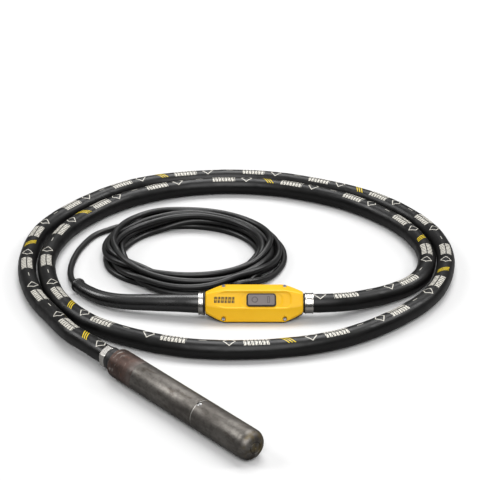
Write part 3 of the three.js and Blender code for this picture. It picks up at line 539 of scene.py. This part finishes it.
def round_piece(name, path, outline, sides=96, relief=None, start=0.0):
    """A body round a path. The outline lists (distance, radius) in millimetres. It closes on itself, or
    starts and ends at radius 0. Relief adds millimetres at (distance, radius, angle from the top)."""
    stations = np.array(outline, float)
    distances, radii = stations[:, 0], stations[:, 1]
    centres, ups, across = path.frames(distances * MM + start)
    angles = np.linspace(-math.pi, math.pi, sides, endpoint=False)
    around = np.repeat(radii[:, None], sides, axis=1)
    if relief:
        around = around + relief(distances[:, None], radii[:, None], angles[None, :])
    out = ups[:, None] * np.cos(angles)[None, :, None] + across[:, None] * np.sin(angles)[None, :, None]
    points = centres[:, None] + out * around[..., None] * MM
    closed = radii[0] > 0 and radii[-1] > 0
    count = len(stations)
    faces, uvs = [], []
    girth = max(radii) * MM
    edges = np.linspace(-math.pi, math.pi, sides + 1) * girth
    lengths = distances * MM + start
    for r in range(count if closed else count - 1):
        s = (r + 1) % count
        for i in range(sides):
            j = (i + 1) % sides
            faces.append((r * sides + i, r * sides + j, s * sides + j, s * sides + i))
            left, right = edges[i], edges[i + 1]
            uvs += [(lengths[r], left), (lengths[r], right), (lengths[s], right), (lengths[s], left)]
    return link(name, points.reshape(-1, 3), faces, uvs)


def dress(piece, body, slot, *nodes):
    """The piece rides on a body, takes its slot's material and stands for the CAD nodes."""
    piece.data.materials.clear()
    piece.data.materials.append(LOOKS[slot])
    if body:
        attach(piece, body)
    if nodes:
        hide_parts(*nodes)
    return piece


def evenly(start, end, step):
    return list(np.linspace(start, end, max(2, round(abs(end - start) / step) + 1)))


# -------------------- placed frames
def placed(origin, x, y):
    x, y = Vector(x).normalized(), Vector(y).normalized()
    z = x.cross(y)
    return Matrix((
        (x.x, y.x, z.x, origin[0]), (x.y, y.y, z.y, origin[1]), (x.z, y.z, z.z, origin[2]), (0, 0, 0, 1),
    ))


rocker_joint = JOINTS["rocker_tilt"]
turn = placed((0, 0, 0), (1, 0, 0), rocker_joint["axis"])
HOUSING = placed(
    Vector(rocker_joint["pos_m"]) - turn.to_3x3() @ Vector((SWITCH_X, 0, PIVOT)) * MM,
    (1, 0, 0), rocker_joint["axis"],
)
spin = JOINTS["rotor_spin"]
spin_axis = Vector(spin["axis"])
HEAD = placed(spin["pos_m"], spin_axis, Vector((0, 0, 1)).cross(spin_axis))
housing_line, head_line = Line(HOUSING), Line(HEAD)


# -------------------- hose
HOSE_CORNERS, CABLE_CORNERS = 20, 6  # of one ring of each CAD node
HOSE_STEP, BEND_REACH = 5.0, 29.0  # hose kept on either side of a bend's pivot; only where the coil piece ends uses it, and no piece is bent here


def wrap_seams(distance, radius, angle):
    """Each turn of the wrap overlaps the last one by a small step, along a slanted line."""
    slant = distance * MM + angle * HOSE_RADIUS * MM * WRAP_SLANT
    phase = (slant / WRAP_PITCH) % 1.0
    step = np.where(phase < 0.06, 1 - phase / 0.06, np.clip((phase - 0.06) / 0.94, 0, 1) ** 3)
    return np.where(radius > HOSE_BORE + 1, (step - 1) * WRAP_STEP, 0.0)


def build_hose():
    centres, end = [], HOUSING.translation
    for node in ("hose_main", "hose_link", "hose_head_end"):
        centres += ring_centres(node, HOSE_CORNERS, end)
        end = centres[-1]
    path = Curve(centres, HOSE_RADIUS * MM)
    swing = path.nearest(JOINTS["hose_swing"]["pos_m"]) / MM
    lift = path.nearest(JOINTS["head_lift"]["pos_m"]) / MM
    middle, reach = (swing + lift) / 2, BEND_REACH
    spans = [
        ("hose_coil", "core_coil", 0.0, swing - reach, ("hose_main",), ("core_cable_main",), None),
        ("hose_bend_rear", "core_bend_rear", swing - reach, middle, ("hose_link",), ("core_cable_link",),
         ("base", "flex_link", swing - reach, swing + reach)),
        ("hose_bend_front", "core_bend_front", middle, path.length / MM, ("hose_head_end",),
         ("core_cable_head",), ("flex_link", "head", lift - reach, lift + reach)),
    ]
    for name, core_name, start, stop, nodes, core_nodes, bend in spans:
        stations = evenly(start, stop, HOSE_STEP)
        outline = [(d, HOSE_RADIUS) for d in stations] + [(d, HOSE_BORE) for d in reversed(stations)]
        tube = round_piece(name, path, outline, 48, wrap_seams)
        core_stations = evenly(start + 4, stop - 1, 12.0)
        core_outline = [(core_stations[0], 0.0), *((d, CORE_RADIUS) for d in core_stations)]
        core_outline.append((core_stations[-1], 0.0))
        core = round_piece(core_name, path, core_outline, 16)
        if bend:
            first, second, from_mm, to_mm = bend
            ends = path.at(np.array([from_mm, to_mm]) * MM)
            for piece in (tube, core):
                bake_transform(piece)
        body = None if bend else "base"
        dress(tube, body, "hose_rubber", *nodes)
        dress(core, body, "cable_rubber", *core_nodes)


build_hose()


# -------------------- supply cable and its sleeve
def build_cable():
    centres = ring_centres("supply_cable", CABLE_CORNERS, HOUSING.translation)
    path = Curve(centres, CABLE_RADIUS * MM)
    stations = evenly(0, path.length / MM, 7.0)
    outline = [(0, 0), *((d, CABLE_RADIUS) for d in stations), (stations[-1], 0)]
    dress(round_piece("cable", path, outline, 20), "base", "cable_rubber", "supply_cable")
    return path


def build_sleeve(path):
    corners = np.array([v.co for v in NODES["bend_sleeve"].data.vertices])
    reach = [path.nearest(c) / MM for c in corners]
    root, mouth = min(reach), max(reach)
    taper = lambda d: SLEEVE_ROOT + (SLEEVE_TIP - SLEEVE_ROOT) * ((d - root) / (mouth - root)) ** 0.8
    bead = 6.5  # width of the bead round the mouth
    outline = [(root, SLEEVE_ROOT - 0.6), *((d, taper(d)) for d in evenly(root + 1, mouth - bead - 1.5, 6.0))]
    outline += [(mouth - bead - 0.4, SLEEVE_TIP + 0.3)]
    for k in range(9):
        angle = math.pi * k / 8
        outline.append((mouth - bead / 2 - bead / 2 * math.cos(angle), 12.9 + 2.1 * math.sin(angle) ** 0.7))
    outline += [(mouth - 0.2, SLEEVE_BORE + 1.4), (mouth - 1.6, SLEEVE_BORE)]
    outline += [(d, SLEEVE_BORE) for d in evenly(mouth - 6, root + SLEEVE_SOCKET_DEPTH + 0.5, 8.0)]
    outline += [(root + SLEEVE_SOCKET_DEPTH, SLEEVE_SOCKET), (root, SLEEVE_SOCKET)]
    dress(round_piece("cable_sleeve", path, outline, 64), "base", "sleeve_rubber", "bend_sleeve")


cable_path = build_cable()
build_sleeve(cable_path)


# -------------------- collars, clamp and ferrule
def turned(name, line, outline, soft, body, slot, *nodes, sides=96, relief=None):
    """A turned piece about a line, its corners rounded, that stands for CAD nodes."""
    closed = outline[0][1] > 0
    piece = round_piece(name, line, softened(outline, soft, closed), sides, relief)
    return dress(piece, body, slot, *nodes)


def build_collars():
    left, right = -HALF, HALF
    turned("cable_side_collar", housing_line,
           [(left - 4, 23.7), (left - 0.6, 23.7), (left - 0.6, 17.3), (left - 4, 17.3)],
           0.8, "base", "seal_rubber", "cable_side_ring")
    turned("hose_side_collar", housing_line,
           [(right + 0.6, 19.4), (right + 3.7, 19.4), (right + 3.7, 13.8), (right + 0.6, 13.8)],
           0.7, "base", "seal_rubber", "hose_side_ring")
    middle = left - 9
    turned("cable_clamp", housing_line,
           [(middle - 4.5, 22.6), (middle - 3.9, 23), (middle - 1.8, 23), (middle - 1.2, 22.2),
            (middle + 1.2, 22.2), (middle + 1.8, 23), (middle + 3.9, 23), (middle + 4.5, 22.6),
            (middle + 4.5, 20.7), (middle - 4.5, 20.7)],
           0.35, "base", "plated_steel", "band_clamp")
    start = right + 4
    turned("hose_clamp_ferrule", housing_line,
           [(start, 20.7), (start + 2.2, 20.7), (start + 3, 20.1), (start + 13.2, 20.1), (start + 14, 20.7),
            (start + 16.2, 20.7), (start + 16.2, 19.6), (start, 19.6)],
           0.5, "base", "plated_steel", "hose_ferrule")


build_collars()


# -------------------- solids cut from one another
def bake(made):
    """Applies the object's modifiers."""
    graph = bpy.context.evaluated_depsgraph_get()
    mesh = bpy.data.meshes.new_from_object(made.evaluated_get(graph), depsgraph=graph)
    made.modifiers.clear()
    made.data = mesh
    mesh.name = made.name
    return made


def combine(made, operation, *tools):
    """Cuts the tools from the object, or joins or keeps what they share, and deletes them."""
    for tool in tools:
        modifier = made.modifiers.new("combine", "BOOLEAN")
        modifier.operation, modifier.solver, modifier.object = operation, "EXACT", tool
    bake(made)
    for tool in tools:
        bpy.data.objects.remove(tool)
    return made


def loft(name, rings):
    """A closed body over rings of equally many points in millimetres, in its own frame."""
    count = len(rings[0])
    points = [Vector(p) * MM for ring in rings for p in ring]
    faces = [tuple(range(count)), tuple(range((len(rings) - 1) * count, len(rings) * count))]
    for r in range(len(rings) - 1):
        for i in range(count):
            j = (i + 1) % count
            faces.append((r * count + i, r * count + j, (r + 1) * count + j, (r + 1) * count + i))
    return link(name, points, faces)


def rounded_rect(length, width, corner, x=0.0, y=0.0, steps=8):
    a, b = length / 2 - corner, width / 2 - corner
    centres = [(a, b, 0), (-a, b, 1), (-a, -b, 2), (a, -b, 3)]
    points = []
    for cx, cy, quarter in centres:
        for k in range(steps + 1):
            angle = (quarter + k / steps) * math.pi / 2
            points.append((x + cx + corner * math.cos(angle), y + cy + corner * math.sin(angle)))
    return points


def prism(name, outline, low, high):
    return loft(name, [[(x, y, z) for x, y in outline] for z in (low, high)])


def block(name, x, y, z):
    return prism(name, [(x[0], y[0]), (x[1], y[0]), (x[1], y[1]), (x[0], y[1])], *z)


def post(name, x, y, low, high, radius, sides=40):
    around = [TAU * i / sides for i in range(sides)]
    return prism(name, [(x + radius * math.cos(a), y + radius * math.sin(a)) for a in around], low, high)


def remeshed(made, voxel, relax):
    """An even fine mesh in place of the solid's, with its edges eased."""
    remesh = made.modifiers.new("remesh", "REMESH")
    remesh.mode, remesh.voxel_size = "VOXEL", voxel * MM
    ease = made.modifiers.new("ease", "SMOOTH")
    ease.factor, ease.iterations = 0.5, relax
    return bake(made)


def thinned(made, keep):
    made.modifiers.new("thin", "DECIMATE").ratio = keep
    return bake(made)


def positions(made):
    return np.array([v.co for v in made.data.vertices]).reshape(-1, 3) / MM


def reshape(made, local):
    made.data.vertices.foreach_set("co", (local * MM).astype(np.float32).ravel())
    made.data.update()


def store(made, name, values, kind):
    attribute = made.data.attributes.new(name, kind, "POINT")
    attribute.data.foreach_set("vector" if kind == "FLOAT_VECTOR" else "value",
                               np.asarray(values, np.float32).ravel())


def install(made, place, body, slot, *nodes):
    """Keeps the local coordinates for the material, then puts the piece in its place."""
    store(made, "local", positions(made) * MM, "FLOAT_VECTOR")
    made.data.transform(place)
    smooth(made, 50)
    return dress(made, body, slot, *nodes)


def rounded_box_distance(x, y, half_length, half_width, corner):
    """How far a point is outside a rounded rectangle, below 0 inside."""
    dx = np.abs(x) - (half_length - corner)
    dy = np.abs(y) - (half_width - corner)
    outside = np.hypot(np.maximum(dx, 0), np.maximum(dy, 0))
    return outside + np.minimum(np.maximum(dx, dy), 0) - corner


def eased(value, low, high):
    t = np.clip((value - low) / (high - low), 0, 1)
    return t * t * (3 - 2 * t)


# -------------------- switch housing
def housing_ring(x, inset=0.0, radius=3.5):
    """The corner-cut section of the housing at x, drawn in by the inset, its corners rounded."""
    t = min(max((abs(x) - FULL) / (HALF - FULL), 0), 1) ** 1.25
    mix = lambda middle, end: middle + (end - middle) * t
    corner = inset * math.tan(math.pi / 8)
    width = mix(WIDTH, END_WIDTH) - inset
    top, bottom = mix(TOP, END_HEIGHT) - inset, mix(BOTTOM, END_HEIGHT) - inset
    shoulder, hip = mix(SHOULDER, END_CORNER) - corner, mix(HIP, END_CORNER) - corner
    face, base = width - (top - shoulder), width - (bottom - hip)
    corners = [
        (width, shoulder), (face, top), (-face, top), (-width, shoulder),
        (-width, -hip), (-base, -bottom), (base, -bottom), (width, -hip),
    ]
    return [(x, y, z) for y, z in softened(corners, radius)]


def housing_body(name, inset, half):
    """The body between -half and half, with its end edges rounded."""
    edge = 2.2 if inset == 0 else 0.5
    rings = []
    for k in range(5):
        angle = k / 4 * math.pi / 2
        rings.append((half - edge + edge * math.cos(angle), edge * (1 - math.sin(angle))))
    stops = [(x, 0.0) for x in np.linspace(half - edge, FULL, 12)[1:]]
    right = rings + stops
    stations = [(-x, grow) for x, grow in right] + [(x, grow) for x, grow in reversed(right)]
    return loft(name, [housing_ring(x, inset + grow) for x, grow in stations])


def bore(name, radius, half):
    around = [TAU * i / 64 for i in range(64)]
    ring = [(radius * math.cos(a), radius * math.sin(a)) for a in around]
    return loft(name, [[(x, y, z) for y, z in ring] for x in (-half, half)])


def press_face(local):
    """Sinks the panel and the finger dish round the switch into the face."""
    x, y, z = local.T
    on_face = eased(z, 16.5, 17.5)
    half = PANEL_HALF - PANEL_TAPER * eased(-x, 52.0, 92.0)
    panel = np.hypot(np.maximum(x - (PANEL_END - PANEL_CORNER), 0),
                     np.maximum(np.abs(y) - (half - PANEL_CORNER), 0)) - PANEL_CORNER
    depth = PANEL_DEPTH * (1 - 0.75 * eased(-x, 45.0, 92.0))
    floor = TOP - depth * (1 - eased(panel, -PANEL_WALL, 0.0))
    pressed = np.where(on_face > 0, np.minimum(z, floor), z)
    dish = rounded_box_distance(x - SWITCH_X, y, DISH_HALF, DISH_WIDTH, DISH_CORNER)
    pressed = pressed - on_face * DISH_DEPTH * (1 - eased(dish, -DISH_WALL, 0.0))
    return np.stack([x, y, pressed], axis=1)


SCREWS = [(sx * SCREW_X, sy * SCREW_Y) for sx in (1, -1) for sy in (1, -1)]


def build_shells():
    upper = housing_body("housing_upper", 0.0, HALF)
    combine(upper, "DIFFERENCE", housing_body("hollow", WALL, HALF - END_WALL))
    bosses = [post("boss", x, y, PARTING - 1, 14.0, 6.2) for x, y in SCREWS]
    combine(upper, "UNION", *bosses)
    pocket_parts = []
    for x, y in SCREWS:
        radius = SCREW_HEAD + 1
        outer = math.copysign(REACH, y)
        pocket_parts.append(post("pocket", x, y, SCREW_SEAT, 40.0, radius))
        pocket_parts.append(block("gap", (x - radius, x + radius), sorted((y, outer)), (SCREW_SEAT, 40.0)))
        pocket_parts.append(post("hole", x, y, -10.0, 10.0, SCREW_HOLE, 24))
    opening = rounded_rect(SWITCH_LENGTH + 0.5, SWITCH_WIDTH + 0.5, SWITCH_CORNER, SWITCH_X)
    combine(upper, "DIFFERENCE", block("below", (-REACH, REACH), (-REACH, REACH), (-REACH, PARTING)),
            bore("bore", PASSAGE, REACH), prism("opening", opening, 10.0, 40.0), *pocket_parts)
    combine(upper, "INTERSECT", housing_body("outer", 0.0, HALF))
    remeshed(upper, 0.8, 4)
    reshape(upper, press_face(positions(upper)))
    thinned(upper, 0.5)
    install(upper, HOUSING, "base", "yellow_plastic", "upper_shell")

    lower = housing_body("housing_lower", 0.0, HALF)
    combine(lower, "DIFFERENCE", housing_body("hollow", WALL, HALF - END_WALL))
    combine(lower, "UNION", *[post("boss", x, y, -17.0, -1.0, 4.8) for x, y in SCREWS])
    combine(lower, "DIFFERENCE", block("above", (-REACH, REACH), (-REACH, REACH), (LOWER_RIM, REACH)),
            bore("bore", PASSAGE, REACH), *[post("hole", x, y, -7.5, 5.0, SCREW_HOLE, 24) for x, y in SCREWS])
    combine(lower, "INTERSECT", housing_body("outer", 0.0, HALF))
    remeshed(lower, 0.9, 4)
    thinned(lower, 0.4)
    install(lower, HOUSING, "base", "black_plastic", "lower_shell")


build_shells()


def build_screws():
    """Socket screws whose heads sit in the open pockets."""
    for number, (x, y) in enumerate(SCREWS, 1):
        seat = SCREW_SEAT + 0.3
        top = seat + SCREW_HEAD_HEIGHT
        foot = top - SCREW_LENGTH
        outline = [(foot, 0), (foot, SCREW_SHANK), (seat, SCREW_SHANK), (seat, SCREW_HEAD),
                   (top, SCREW_HEAD), (top, 0)]
        upright = Line(Matrix.Translation((x * MM, y * MM, 0)) @ Matrix.Rotation(-math.pi / 2, 4, "Y"))
        screw = round_piece(f"screw_{number}", upright, softened(outline, 0.5, False), 48)
        socket = [(x + 1.9 * math.cos(TAU * i / 6), y + 1.9 * math.sin(TAU * i / 6)) for i in range(6)]
        combine(screw, "DIFFERENCE", prism("socket", socket, top - 1.8, top + 2.0))
        install(screw, HOUSING, "base", "zinc_steel", f"housing_screw_{number}")


build_screws()


def build_switch():
    def outline(inset):
        length, width = SWITCH_LENGTH - 2 * inset, SWITCH_WIDTH - 2 * inset
        return rounded_rect(length, width, SWITCH_CORNER - inset, SWITCH_X)

    bezel = prism("switch_frame", outline(0.0), TOP - 5.5, TOP - 0.9)
    combine(bezel, "DIFFERENCE", prism("inside", outline(BEZEL_RIM), 0.0, 40.0))
    rounding = bezel.modifiers.new("round", "BEVEL")
    rounding.width, rounding.segments, rounding.limit_method = 0.35 * MM, 3, "ANGLE"
    install(bake(bezel), HOUSING, "base", "black_plastic", "switch_bezel")

    rocker = prism("rocker_cap", outline(BEZEL_RIM + ROCKER_GAP), TOP - 3.6, TOP - 0.3)
    hub = block("hub", (SWITCH_X - 4, SWITCH_X + 4), (-6.0, 6.0), (PIVOT - 3.2, TOP - 3.0))
    combine(rocker, "UNION", hub)
    axle = [TAU * i / 32 for i in range(32)]
    rim = [(SWITCH_X + AXLE_RADIUS * math.cos(a), PIVOT + AXLE_RADIUS * math.sin(a)) for a in axle]
    hole = [[(x, y, z) for x, z in rim] for y in (-8.0, 8.0)]
    combine(rocker, "DIFFERENCE", loft("hole", hole))
    remeshed(rocker, 0.32, 3)
    local = positions(rocker)
    x, y, z = local.T
    u = x - SWITCH_X
    ring = np.abs(np.hypot(u + 13.0, y) - 5.4) - 0.65
    bar = np.abs(rounded_box_distance(u - 14.0, y, 1.9, 6.6, 0.6)) - 0.4
    mark = 1 - eased(np.minimum(ring, bar), -0.15, 0.45)
    top_face = eased(z, TOP - 1.6, TOP - 1.0)
    hollow = 0.35 * (1 - (u / 30.0) ** 2) * (1 - eased(np.abs(y), 6.0, 11.5))
    local[:, 2] = z - top_face * (0.3 * mark + hollow)
    reshape(rocker, local)
    # the groove mask is kept for the material, which paints shade into the grooves with it
    store(rocker, "mark", mark * top_face, "FLOAT")
    thinned(rocker, 0.6)
    install(rocker, HOUSING, "rocker", "rocker_plastic", "rocker_button")


build_switch()


# -------------------- head
def hexagon(across_corners):
    """Relief that trims a turned blank down to six flats."""
    def trim(_, radius, angle):
        turned_by = (angle + math.pi) % (TAU / 6) - TAU / 12
        flat = across_corners * math.cos(TAU / 12) / np.cos(turned_by)
        return np.where(radius > 15, np.minimum(flat - radius, 0), 0.0)
    return trim


def tip_outline():
    end, dome, flat, floor = HEAD_LENGTH, DOME, FLAT, HEAD_RADIUS - GROOVE_DEPTH
    shoulder = end + 0.4 - dome
    arc = []
    for k in range(15):
        angle = k / 15 * math.pi / 2
        arc.append((shoulder + dome * math.sin(angle), flat + (HEAD_RADIUS - flat) * math.cos(angle)))
    return [
        (356, 0), (356, INSIDE), (GROOVE - 12, INSIDE), (GROOVE - 12, SPIGOT), (GROOVE, SPIGOT),
        (GROOVE, floor), (GROOVE + 2.0, floor), (GROOVE + 2.5, HEAD_RADIUS),
        *arc, (end + 0.2, flat + 0.4), (end - 1.6, flat - 0.2), (end - 1.6, flat - 0.9),
        (end, flat - 1.5), (end, 2.2), (end - 2.2, 0),
    ]


def build_head():
    r, floor = HEAD_RADIUS, HEAD_RADIUS - GROOVE_DEPTH
    nut = [(-36, 20.2), (-34.6, NUT_CORNER), (-22.4, NUT_CORNER), (-21, 20.2), (-21, NECK_BORE),
           (-36, NECK_BORE)]
    turned("coupling_nut", head_line, nut, 0.25, "head", "plated_steel", "hex_nut",
           relief=hexagon(NUT_CORNER))
    neck = [(-20.7, 21.4), (-12, 21.4), (-10.5, 20), (-8.5, 20), (-7, 22), (-0.3, 22), (-0.3, NECK_BORE),
            (-20.7, NECK_BORE)]
    turned("neck_seal", head_line, neck, 0.8, "head", "seal_rubber", "neck_ring")
    rear = [(0, 26.5), (2.2, r), (TUBE_START, r), (TUBE_START, SPIGOT), (TUBE_START + 8, SPIGOT),
            (TUBE_START + 8, 19), (16, 19), (14, NECK_BORE), (0, NECK_BORE)]
    turned("head_rear_section", head_line, rear, 1.0, "head", "oxidised_steel", "head_connector")
    tube = [(TUBE_START + 0.3, SOCKET), (TUBE_START + 0.3, r), (GROOVE - 3.2, r), (GROOVE - 2.7, floor),
            (GROOVE - 0.3, floor), (GROOVE - 0.3, SOCKET)]
    turned("head_middle_section", head_line, tube, 0.35, "head", "gunmetal_steel", "head_tube")
    tip = round_piece("head_front_section", Line(Matrix.Identity(4)), softened(tip_outline(), 0.4, False), 96)
    roll = Matrix.Rotation(PIN_ROLL, 4, "X")
    hole = post("hole", PIN_X, 0.0, r - 4.5, r + 5, PIN_RADIUS + 0.4)
    hole.data.transform(roll)
    combine(tip, "DIFFERENCE", hole)
    install(tip, HEAD, "head", "gunmetal_steel", "head_tip")
    top = r - 0.4
    upright = Line(Matrix.Translation((PIN_X * MM, 0, 0)) @ Matrix.Rotation(-math.pi / 2, 4, "Y"))
    outline = [(top - 3.8, 0), (top - 3.8, PIN_RADIUS), (top - 0.7, PIN_RADIUS), (top - 0.1, 2.6), (top, 0)]
    plug = round_piece("locking_plug", upright, softened(outline, 0.5, False), 48)
    combine(plug, "DIFFERENCE", block("slot", (PIN_X - 6, PIN_X + 6), (-0.8, 0.8), (top - 1.8, top + 3)))
    install(plug, HEAD @ roll, "head", "ground_steel", "locking_pin")


build_head()


# -------------------- plug
def build_plug(path):
    """A moulded two-pin plug: a drum with grip ribs, and a ribbed relief round the end of the cable."""
    boxes = {name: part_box(f"plug_pin_{name}") for name in ("upper", "lower")}
    axes = {name: (low + high) / 2 for name, (low, high) in boxes.items()}
    centre = (axes["upper"] + axes["lower"]) / 2
    centre.x = boxes["upper"][0].x + (CONTACT_LENGTH + PLUG_HALF) * MM
    back, rim = -PLUG_HALF, PLUG_RADIUS
    profile = [(back, 0), (back, rim - 2.2), (back + 1.8, rim), *((x, rim) for x in evenly(-10, 8, 2.0)),
               (10, rim), (-back, 13.5), (-back, 0)]

    def ribs(distance, radius, angle):
        grip = eased(distance, -10.0, -8.0) * (1 - eased(distance, 6.0, 8.0))
        return np.where(radius > rim - 0.1, grip * 0.45 * (np.cos(angle * 24) - 1), 0.0)

    drum_line = Line(Matrix.Translation(centre))
    plug = round_piece("plug", drum_line, softened(profile, 1.2, False, 2), 144, ribs)
    way = Vector(path.at(np.array([path.length]))[0]) - centre
    length = way.length / MM + 9
    toward = Line(placed(centre, way, Vector((0, 0, 1)).cross(way)))
    outline = [(4, 0), (4, 11.5), (20, 11.2)]
    for k in range(4):
        start = 22 + k * (length - 25) / 4
        outline += [(start, 11), (start + 0.4, 9.4), (start + 2.2, 9.4), (start + 2.6, 11)]
    relief = round_piece("relief", toward, softened([*outline, (length, 10), (length, 0)], 0.5, False), 64)
    mouth = (length - 10, length + 5)
    socket = round_piece("socket", toward, [(x, r) for x, r in zip(sorted(mouth * 2), (0, 7.6, 7.6, 0))], 48)
    combine(plug, "UNION", relief)
    holes = []
    for name, axis in axes.items():
        low, high = boxes[name]
        half = (high.x - low.x) / 2 / MM
        line = Line(Matrix.Translation(axis))
        root = half + 0.4
        way_in = CONTACT_RADIUS + 0.4
        holes.append(round_piece("hole", line, [(-half, 0), (-half, way_in), (root, way_in), (root, 0)], 32))
        contact = [(-half, 0), (-half, 1.4), (-half + 1.6, CONTACT_RADIUS), (half, CONTACT_RADIUS), (half, 0)]
        turned(f"plug_contact_{name}", line, contact, 0.6, "base", "brass", f"plug_pin_{name}", sides=40)
    combine(plug, "DIFFERENCE", socket, *holes)
    smooth(plug)
    dress(plug, "base", "sleeve_rubber", "plug_body")


build_plug(cable_path)


# -------------------- CAD nodes that are shown as they are
NODE_SLOTS = {
    "seal_rubber": ("shell_gasket_back", "shell_gasket_front"),
    "black_plastic": ("switch_module", "terminal_block", "cable_spigot"),
    "brass": ("hose_spigot", "hose_nipple"),
    "board": ("circuit_board",),
    "capacitor_can": ("capacitor_back", "capacitor_front"),
    "copper_winding": ("winding_rear", "winding_front"),
    "lamination_steel": ("stator_core", "rotor_core"),
    "gunmetal_steel": ("rear_bearing_shield", "middle_bearing_shield", "eccentric_weight"),
}
slot_of = {node: slot for slot, nodes in NODE_SLOTS.items() for node in nodes}
for node, made in NODES.items():
    if not made.hide_render:
        made.data.materials.clear()
        made.data.materials.append(LOOKS[slot_of.get(node, "ground_steel")])


# -------------------- floor, light and camera
def build_floor():
    low, high = cad_box
    middle = (low + high) / 2
    floor = link("floor", [(middle.x + sx * FLOOR_HALF, middle.y + sy * FLOOR_HALF, 0)
                           for sx, sy in ((-1, -1), (1, -1), (1, 1), (-1, 1))], [(0, 1, 2, 3)])
    look = Look("floor", 0.9, Specular_IOR_Level=0.1)
    paper = look.mix(look.noise(3.0), (0.80, 0.80, 0.80), (0.82, 0.82, 0.82))
    mirrored = Field(look, look.node("ShaderNodeLightPath").outputs["Is Glossy Ray"])
    look.set(Base_Color=look.mix(mirrored, paper, (0.25, 0.25, 0.25)))  # gloss sees a darker floor
    floor.data.materials.append(look.material)


def soft_sun(name, direction, spread, strength):
    """Light that comes evenly from a wide disk in the given direction."""
    data = bpy.data.lights.new(name, "SUN")
    data.angle, data.energy = math.radians(spread), strength
    lamp = bpy.data.objects.new(name, data)
    lamp.rotation_euler = Vector(direction).to_track_quat("Z", "Y").to_euler()
    bpy.context.scene.collection.objects.link(lamp)


def build_light():
    soft_sun("key", (0.2, 1.35, 2.6), 40, 1.85)
    soft_sun("left", (-2.3, 0.8, 2.0), 24, 0.75)
    soft_sun("right", (2.3, 0.8, 2.0), 24, 0.75)
    soft_sun("front", (0.3, -2.4, 2.3), 50, 1.70)
    build_world()


def build_world():
    """Light from all round. Reflections see a dark room that brightens overhead."""
    world = bpy.data.worlds.new("studio")
    world.use_nodes = True
    nodes, links = world.node_tree.nodes, world.node_tree.links
    split = nodes.new("ShaderNodeSeparateXYZ")
    links.new(nodes.new("ShaderNodeTexCoord").outputs["Generated"], split.inputs[0])
    rise = nodes.new("ShaderNodeMapRange")
    for place, value in enumerate((0.15, 0.95, 0.05, 0.5), 1):
        rise.inputs[place].default_value = value
    links.new(split.outputs["Z"], rise.inputs[0])
    choice = nodes.new("ShaderNodeMix")
    choice.inputs[2].default_value = 0.10
    links.new(nodes.new("ShaderNodeLightPath").outputs["Is Glossy Ray"], choice.inputs[0])
    links.new(rise.outputs[0], choice.inputs[3])
    background = nodes["Background"]
    background.inputs["Color"].default_value = (1, 1, 1, 1)
    links.new(choice.outputs[0], background.inputs["Strength"])
    bpy.context.scene.world = world


def build_camera():
    data = bpy.data.cameras.new("camera")
    data.angle = CAMERA_VIEW
    camera = bpy.data.objects.new("camera", data)
    back = Vector((0, -math.cos(CAMERA_ELEVATION), math.sin(CAMERA_ELEVATION)))
    camera.location = Vector(CAMERA_AIM) + back * CAMERA_DISTANCE
    camera.rotation_euler = (math.pi / 2 - CAMERA_ELEVATION, 0, 0)
    bpy.context.scene.collection.objects.link(camera)
    bpy.context.scene.camera = camera


build_floor()
build_light()
build_camera()
bpy.context.scene.view_settings.view_transform = "Standard"
